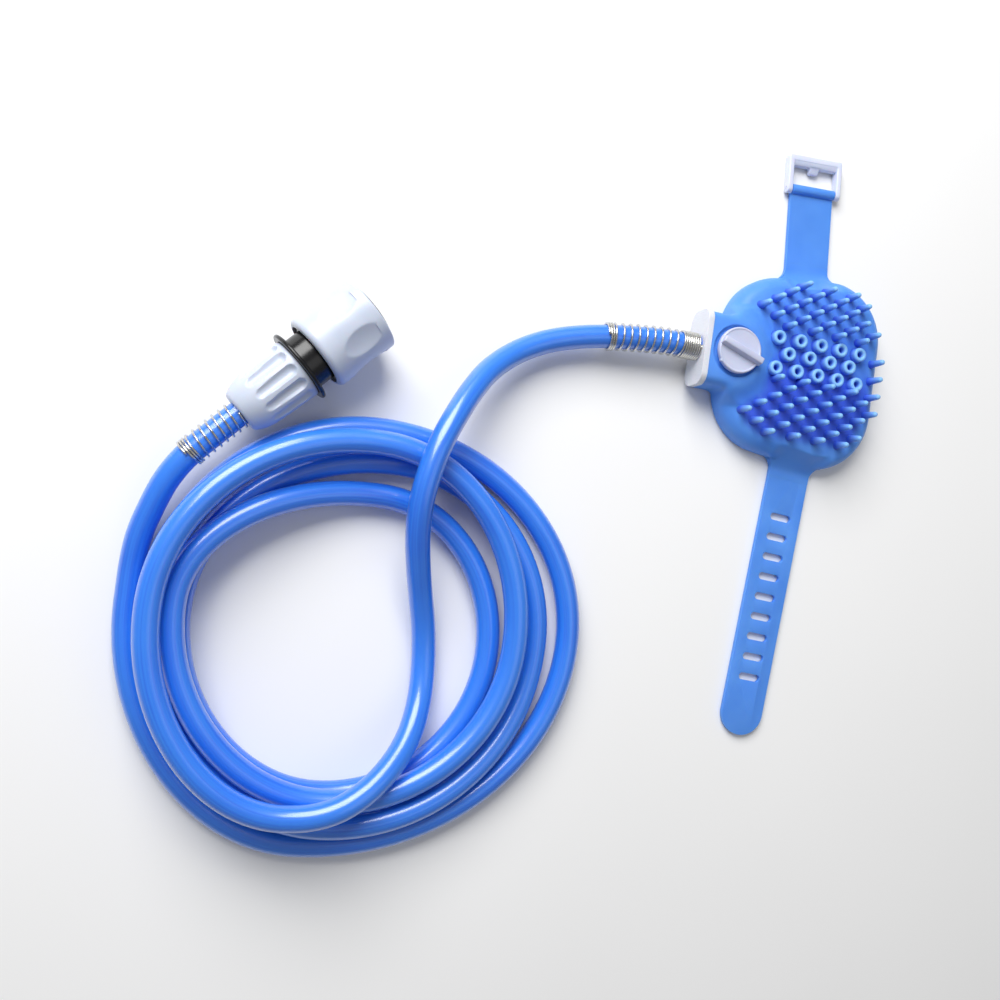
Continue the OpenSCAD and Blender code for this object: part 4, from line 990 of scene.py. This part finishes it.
def add(tree, kind, inputs=None, stops=(), **settings):
    """Adds a node, sets its settings, fills its inputs with values or links, and places
    the (position, hex colour) stops of a colour ramp."""
    new = tree.nodes.new(kind)
    for key, value in settings.items():
        setattr(new, key, value)
    for key, value in (inputs or {}).items():
        if isinstance(value, bpy.types.NodeSocket):
            tree.links.new(value, new.inputs[key])
        else:
            new.inputs[key].default_value = value
    for number, (at, colour) in enumerate(stops):
        new.color_ramp.elements[number].position = at
        new.color_ramp.elements[number].color = linear(colour)
    return new


def start_material(name, **surface):
    """A material with a Principled surface; surface holds its plain socket values."""
    made = bpy.data.materials.new(name)
    made.use_nodes = True
    tree = made.node_tree
    tree.nodes.clear()
    shader = add(tree, "ShaderNodeBsdfPrincipled", {
        key.replace("_", " ").title().replace("Ior", "IOR"): value
        for key, value in surface.items()})
    add(tree, "ShaderNodeOutputMaterial", {"Surface": shader.outputs["BSDF"]})
    where = add(tree, "ShaderNodeTexCoord").outputs["Object"]
    return made, tree, shader, where


def grain(tree, where, size_mm, detail=3.0, stretch=(1, 1, 1)):
    """Noise whose lumps are about size_mm across: its scale is one over that size in
    metres. Along an axis it is squeezed by the stretch."""
    squeezed = add(tree, "ShaderNodeMapping", {"Vector": where, "Scale": stretch})
    return add(tree, "ShaderNodeTexNoise", {
        "Vector": squeezed.outputs["Vector"], "Scale": 1 / (size_mm * MM),
        "Detail": detail, "Roughness": 0.55}).outputs["Fac"]


def finish_with(tree, shader, height, depth_mm, **patterns):
    """Links patterns to the surface's sockets, and its bumps: depth_mm at full height."""
    bump = add(tree, "ShaderNodeBump", {"Height": height, "Distance": depth_mm * MM,
                                        "Strength": 1.0})
    tree.links.new(bump.outputs["Normal"], shader.inputs["Normal"])
    for socket, pattern in patterns.items():
        tree.links.new(pattern, shader.inputs[socket.replace("_", " ")])


# %% [markdown]
# ### Silicone
# The pad and the straps are liquid silicone rubber, moulded in a polished tool. Light
# enters it a little way, so thin nubs and edges look brighter than the solid body.
# The skin is satin, with a very fine orange-peel texture. The two numbers on the pad's
# points paint light and shade into the colour: a deep blue painted shade in the valleys
# and on the nubs, and a pale blue painted light on the nubs' tips and the rings' rims. The
# straps have none and keep the plain tint.

# %% Silicone
silicone, tree, shader, where = start_material(
    "Moulded silicone rubber", roughness=0.45, ior=1.41, subsurface_weight=0.35,
    subsurface_scale=0.002, subsurface_radius=(0.3, 0.6, 1.0))
cloud = grain(tree, where, 22, 2.0)
tint = add(tree, "ShaderNodeValToRGB", {"Fac": cloud},
           stops=((0.3, "#508ee9"), (0.7, "#5d9bf1"))).outputs["Color"]
painted_shade_fac, painted_light_fac = [add(tree, "ShaderNodeAttribute", attribute_name=label).outputs["Fac"]
                     for label in ("painted_valley_shade", "tip")]
painted_shade_share = add(tree, "ShaderNodeMapRange", {"Value": painted_shade_fac, "To Max": 0.75})
pale = add(tree, "ShaderNodeMapRange", {"Value": painted_light_fac, "From Min": 0.15, "To Max": 0.9})
# Painted shade: the valley number mixes the tint towards deep blue #2f44d0.
body = add(tree, "ShaderNodeMix", {0: painted_shade_share.outputs["Result"], 6: tint, 7: linear("#2f44d0")},
           data_type="RGBA")
# Painted light: the tip number mixes the colour towards pale blue #8fc8fc.
whole = add(tree, "ShaderNodeMix", {0: pale.outputs["Result"], 6: body.outputs[2],
                                    7: linear("#8fc8fc")}, data_type="RGBA")
satin = add(tree, "ShaderNodeMapRange", {"Value": cloud, "To Min": 0.4, "To Max": 0.5})
finish_with(tree, shader, grain(tree, where, 0.7, 2.0), 0.02,
            Base_Color=whole.outputs[2], Roughness=satin.outputs["Result"])
print(silicone.name, "nodes:", len(tree.nodes))

# %% [markdown]
# ### Hose
# The hose is clear blue PVC. It is drawn through a die, so faint lines run along it,
# and its skin is bright and smooth. The lines follow the hose's own UV map. They are
# about 0.9 mm wide and 400 mm long, drawn coarse enough to show.

# %% Hose PVC
LINE_W_MM, LINE_L_MM = 0.864, 400.0
pvc, tree, shader, where = start_material(
    "Extruded PVC", roughness=0.16, ior=1.52, subsurface_weight=0.2,
    subsurface_scale=0.003, subsurface_radius=(0.25, 0.5, 1.0), coat_weight=1.0,
    coat_roughness=0.34, coat_ior=1.6)
run_uv = add(tree, "ShaderNodeUVMap", uv_map="run").outputs["UV"]
lines_round, lines_along = math.pi * HOSE_D / (LINE_W_MM * MM), 1 / (LINE_L_MM * MM)
streaks = add(tree, "ShaderNodeMapping", {"Vector": run_uv,
                                          "Scale": (lines_round, lines_along, 1)})
streak = add(tree, "ShaderNodeTexNoise", {"Vector": streaks.outputs["Vector"], "Scale": 1.0,
                                          "Detail": 3.0}).outputs["Fac"]
mixed = add(tree, "ShaderNodeMath", {0: streak, 1: grain(tree, where, 60, 2.0)},
            operation="ADD").outputs["Value"]
colour = add(tree, "ShaderNodeValToRGB", {"Fac": mixed},
             stops=((0.7, "#226fe6"), (1.0, "#3083f1"))).outputs["Color"]
finish_with(tree, shader, streak, 0.03, Base_Color=colour)
print(pvc.name, "lines round the hose:", round(lines_round))

# %% [markdown]
# ### Pale ABS
# The knob, plate, buckle and connector are white ABS with a breath of lavender. The
# moulds are lightly spark-eroded, which leaves a fine even grain and a half gloss. One
# function gives its four shades, since only the colour, the gloss and the grain differ.


# %% Pale ABS
def pale_abs(name, low, high, rough, grain_mm):
    """ABS of one shade: a slow drift of colour and a fine moulded grain."""
    made, tree, shader, where = start_material(
        name, roughness=rough, ior=1.54, subsurface_weight=0.1, subsurface_scale=0.002)
    drift = add(tree, "ShaderNodeValToRGB", {"Fac": grain(tree, where, 18, 2.0)},
                stops=((0.3, low), (0.7, high)))
    fine = grain(tree, where, grain_mm)
    gloss = add(tree, "ShaderNodeMapRange", {"Value": fine, "To Min": rough - 0.06,
                                             "To Max": rough + 0.06})
    finish_with(tree, shader, fine, 0.012, Base_Color=drift.outputs["Color"],
                Roughness=gloss.outputs["Result"])
    print(name, "nodes:", len(tree.nodes))
    return made


connector_abs = pale_abs("Moulded ABS, connector", "#c3ccdf", "#ced6e7", 0.34, 0.6)
fitting_abs = pale_abs("Moulded ABS, inlet", "#d6d9e2", "#dfe2ea", 0.28, 0.5)
knob_abs = pale_abs("Moulded ABS, knob", "#bec4df", "#c9cee6", 0.36, 0.5)
buckle_abs = pale_abs("Moulded ABS, buckle", "#d3d9f2", "#dde2f7", 0.26, 0.5)

# %% [markdown]
# ### Black nylon
# The connector's core and nose ring are black glass-filled nylon. It is moulded with a
# smooth skin, so it shows sharp highlights that the glass breaks up a little.

# %% Black nylon
nylon, tree, shader, where = start_material("Black nylon", roughness=0.3, ior=1.53)
fine = grain(tree, where, 0.5)
black = add(tree, "ShaderNodeValToRGB", {"Fac": fine},
            stops=((0.3, "#08080a"), (0.7, "#131317")))
gloss = add(tree, "ShaderNodeMapRange", {"Value": fine, "To Min": 0.18, "To Max": 0.3})
finish_with(tree, shader, fine, 0.015, Base_Color=black.outputs["Color"],
            Roughness=gloss.outputs["Result"])
print(nylon.name, "nodes:", len(tree.nodes))

# %% [markdown]
# ### Nitrile rubber
# The O-rings are nitrile rubber from a dull mould. They look dark grey and have hardly
# any shine, so one even roughness and a very fine grain are enough.

# %% Nitrile rubber
nitrile, tree, shader, where = start_material("Nitrile rubber", roughness=0.55, ior=1.5)
fine = grain(tree, where, 0.3, 2.0)
grey = add(tree, "ShaderNodeValToRGB", {"Fac": fine},
           stops=((0.3, "#101012"), (0.7, "#1d1d20")))
finish_with(tree, shader, fine, 0.01, Base_Color=grey.outputs["Color"])
print(nitrile.name, "nodes:", len(tree.nodes))

# %% [markdown]
# ### Drawn steel wire
# The springs, the pin and the clip are bright steel wire. The drawing die leaves lines,
# which show as streaks in its reflections. Noise that is squeezed in two directions
# gives such streaks without a map of each wire.

# %% Drawn steel wire
steel, tree, shader, where = start_material("Drawn steel wire", metallic=1.0,
                                            roughness=0.22)
lines = grain(tree, where, 0.25, 2.0, (1, 6, 6))
bright = add(tree, "ShaderNodeValToRGB", {"Fac": lines},
             stops=((0.25, "#bdbcb6"), (0.75, "#ecebe6")))
gloss = add(tree, "ShaderNodeMapRange", {"Value": lines, "To Min": 0.16, "To Max": 0.34})
finish_with(tree, shader, lines, 0.008, Base_Color=bright.outputs["Color"],
            Roughness=gloss.outputs["Result"])
print(steel.name, "nodes:", len(tree.nodes))

# %% [markdown]
# ## Dressing the pieces
# Every piece that is seen takes the finish of its real material. The frame's nodes keep
# their meshes and only get the finish; the new pieces get theirs in the same way.

# %% Dressing the pieces
FINISH = {
    "palm_panel": silicone, "spigot_oring": nitrile, "valve_housing": fitting_abs,
    "plug_oring": nitrile, "plug_clip": steel,
    "buckle_pin": steel, "connector_core": nylon, "hose_collet": connector_abs,
    "gripper_ring": connector_abs}
for node, finish in FINISH.items():
    slots = nodes[node].data.materials
    slots.clear()
    slots.append(finish)
for piece, finish in (
        (hose, pvc), (sprayer_spring, steel), (tail_spring, steel),
        (release_spring, steel), (pad, silicone), (long_strap, silicone),
        (short_strap, silicone), (inlet_plate, fitting_abs), (knob, knob_abs),
        (plug, fitting_abs), (buckle, buckle_abs), (nose_ring, nylon), (nut, connector_abs),
        (sleeve, connector_abs)):
    piece.data.materials.clear()
    piece.data.materials.append(finish)
print("dressed", len(FINISH), "nodes")

# %% [markdown]
# ## Floor and light
# A pale floor and soft studio light: one large panel at the upper left gives the long
# highlights on the hose, and the bright surroundings fill the shadows. An image of a
# studio could light it as well, but two panels can be placed where they are wanted.

# %% Floor
FLOOR_HALF, FLOOR_DROP = 3, 0.0005
corners = np.array([[-1, -1], [1, -1], [1, 1], [-1, 1]]) * FLOOR_HALF
floor = put_mesh("floor", np.column_stack([corners, np.full(4, -FLOOR_DROP)]), [[0, 1, 2, 3]])
paper, tree, shader, where = start_material("Matt paper", roughness=0.9)
sheet = add(tree, "ShaderNodeValToRGB", {"Fac": grain(tree, where, 400)},
            stops=((0.3, "#f4f4f4"), (0.7, "#f8f8f8")))
tree.links.new(sheet.outputs["Color"], shader.inputs["Base Color"])
floor.data.materials.append(paper)
print("floor, m across:", 2 * FLOOR_HALF)

# %% Light
SKY_STRENGTH, MIDDLE = 0.24, (-0.14, -0.07, 0.0)
world = bpy.data.worlds.new("studio")
world.use_nodes = True
world.node_tree.nodes["Background"].inputs["Color"].default_value = (1, 1, 1, 1)
world.node_tree.nodes["Background"].inputs["Strength"].default_value = SKY_STRENGTH
bpy.context.scene.world = world
bpy.context.scene.view_settings.view_transform = "Standard"


def panel_light(name, at, to, size, watts):
    """A square panel of light of that size in metres, turned towards a point."""
    light = bpy.data.lights.new(name, "AREA")
    light.size, light.energy = size, watts
    lamp = bpy.data.objects.new(name, light)
    bpy.context.scene.collection.objects.link(lamp)
    aim = (Vector(to) - Vector(at)).to_track_quat("-Z", "Y").to_matrix().to_4x4()
    lamp.matrix_world = Matrix.Translation(Vector(at)) @ aim


panel_light("key", (-0.55, 0.65, 0.75), MIDDLE, 0.8, 17)
panel_light("fill", (0.5, -0.2, 1.3), MIDDLE, 0.9, 1.5)
print("lights:", len(bpy.data.lights))
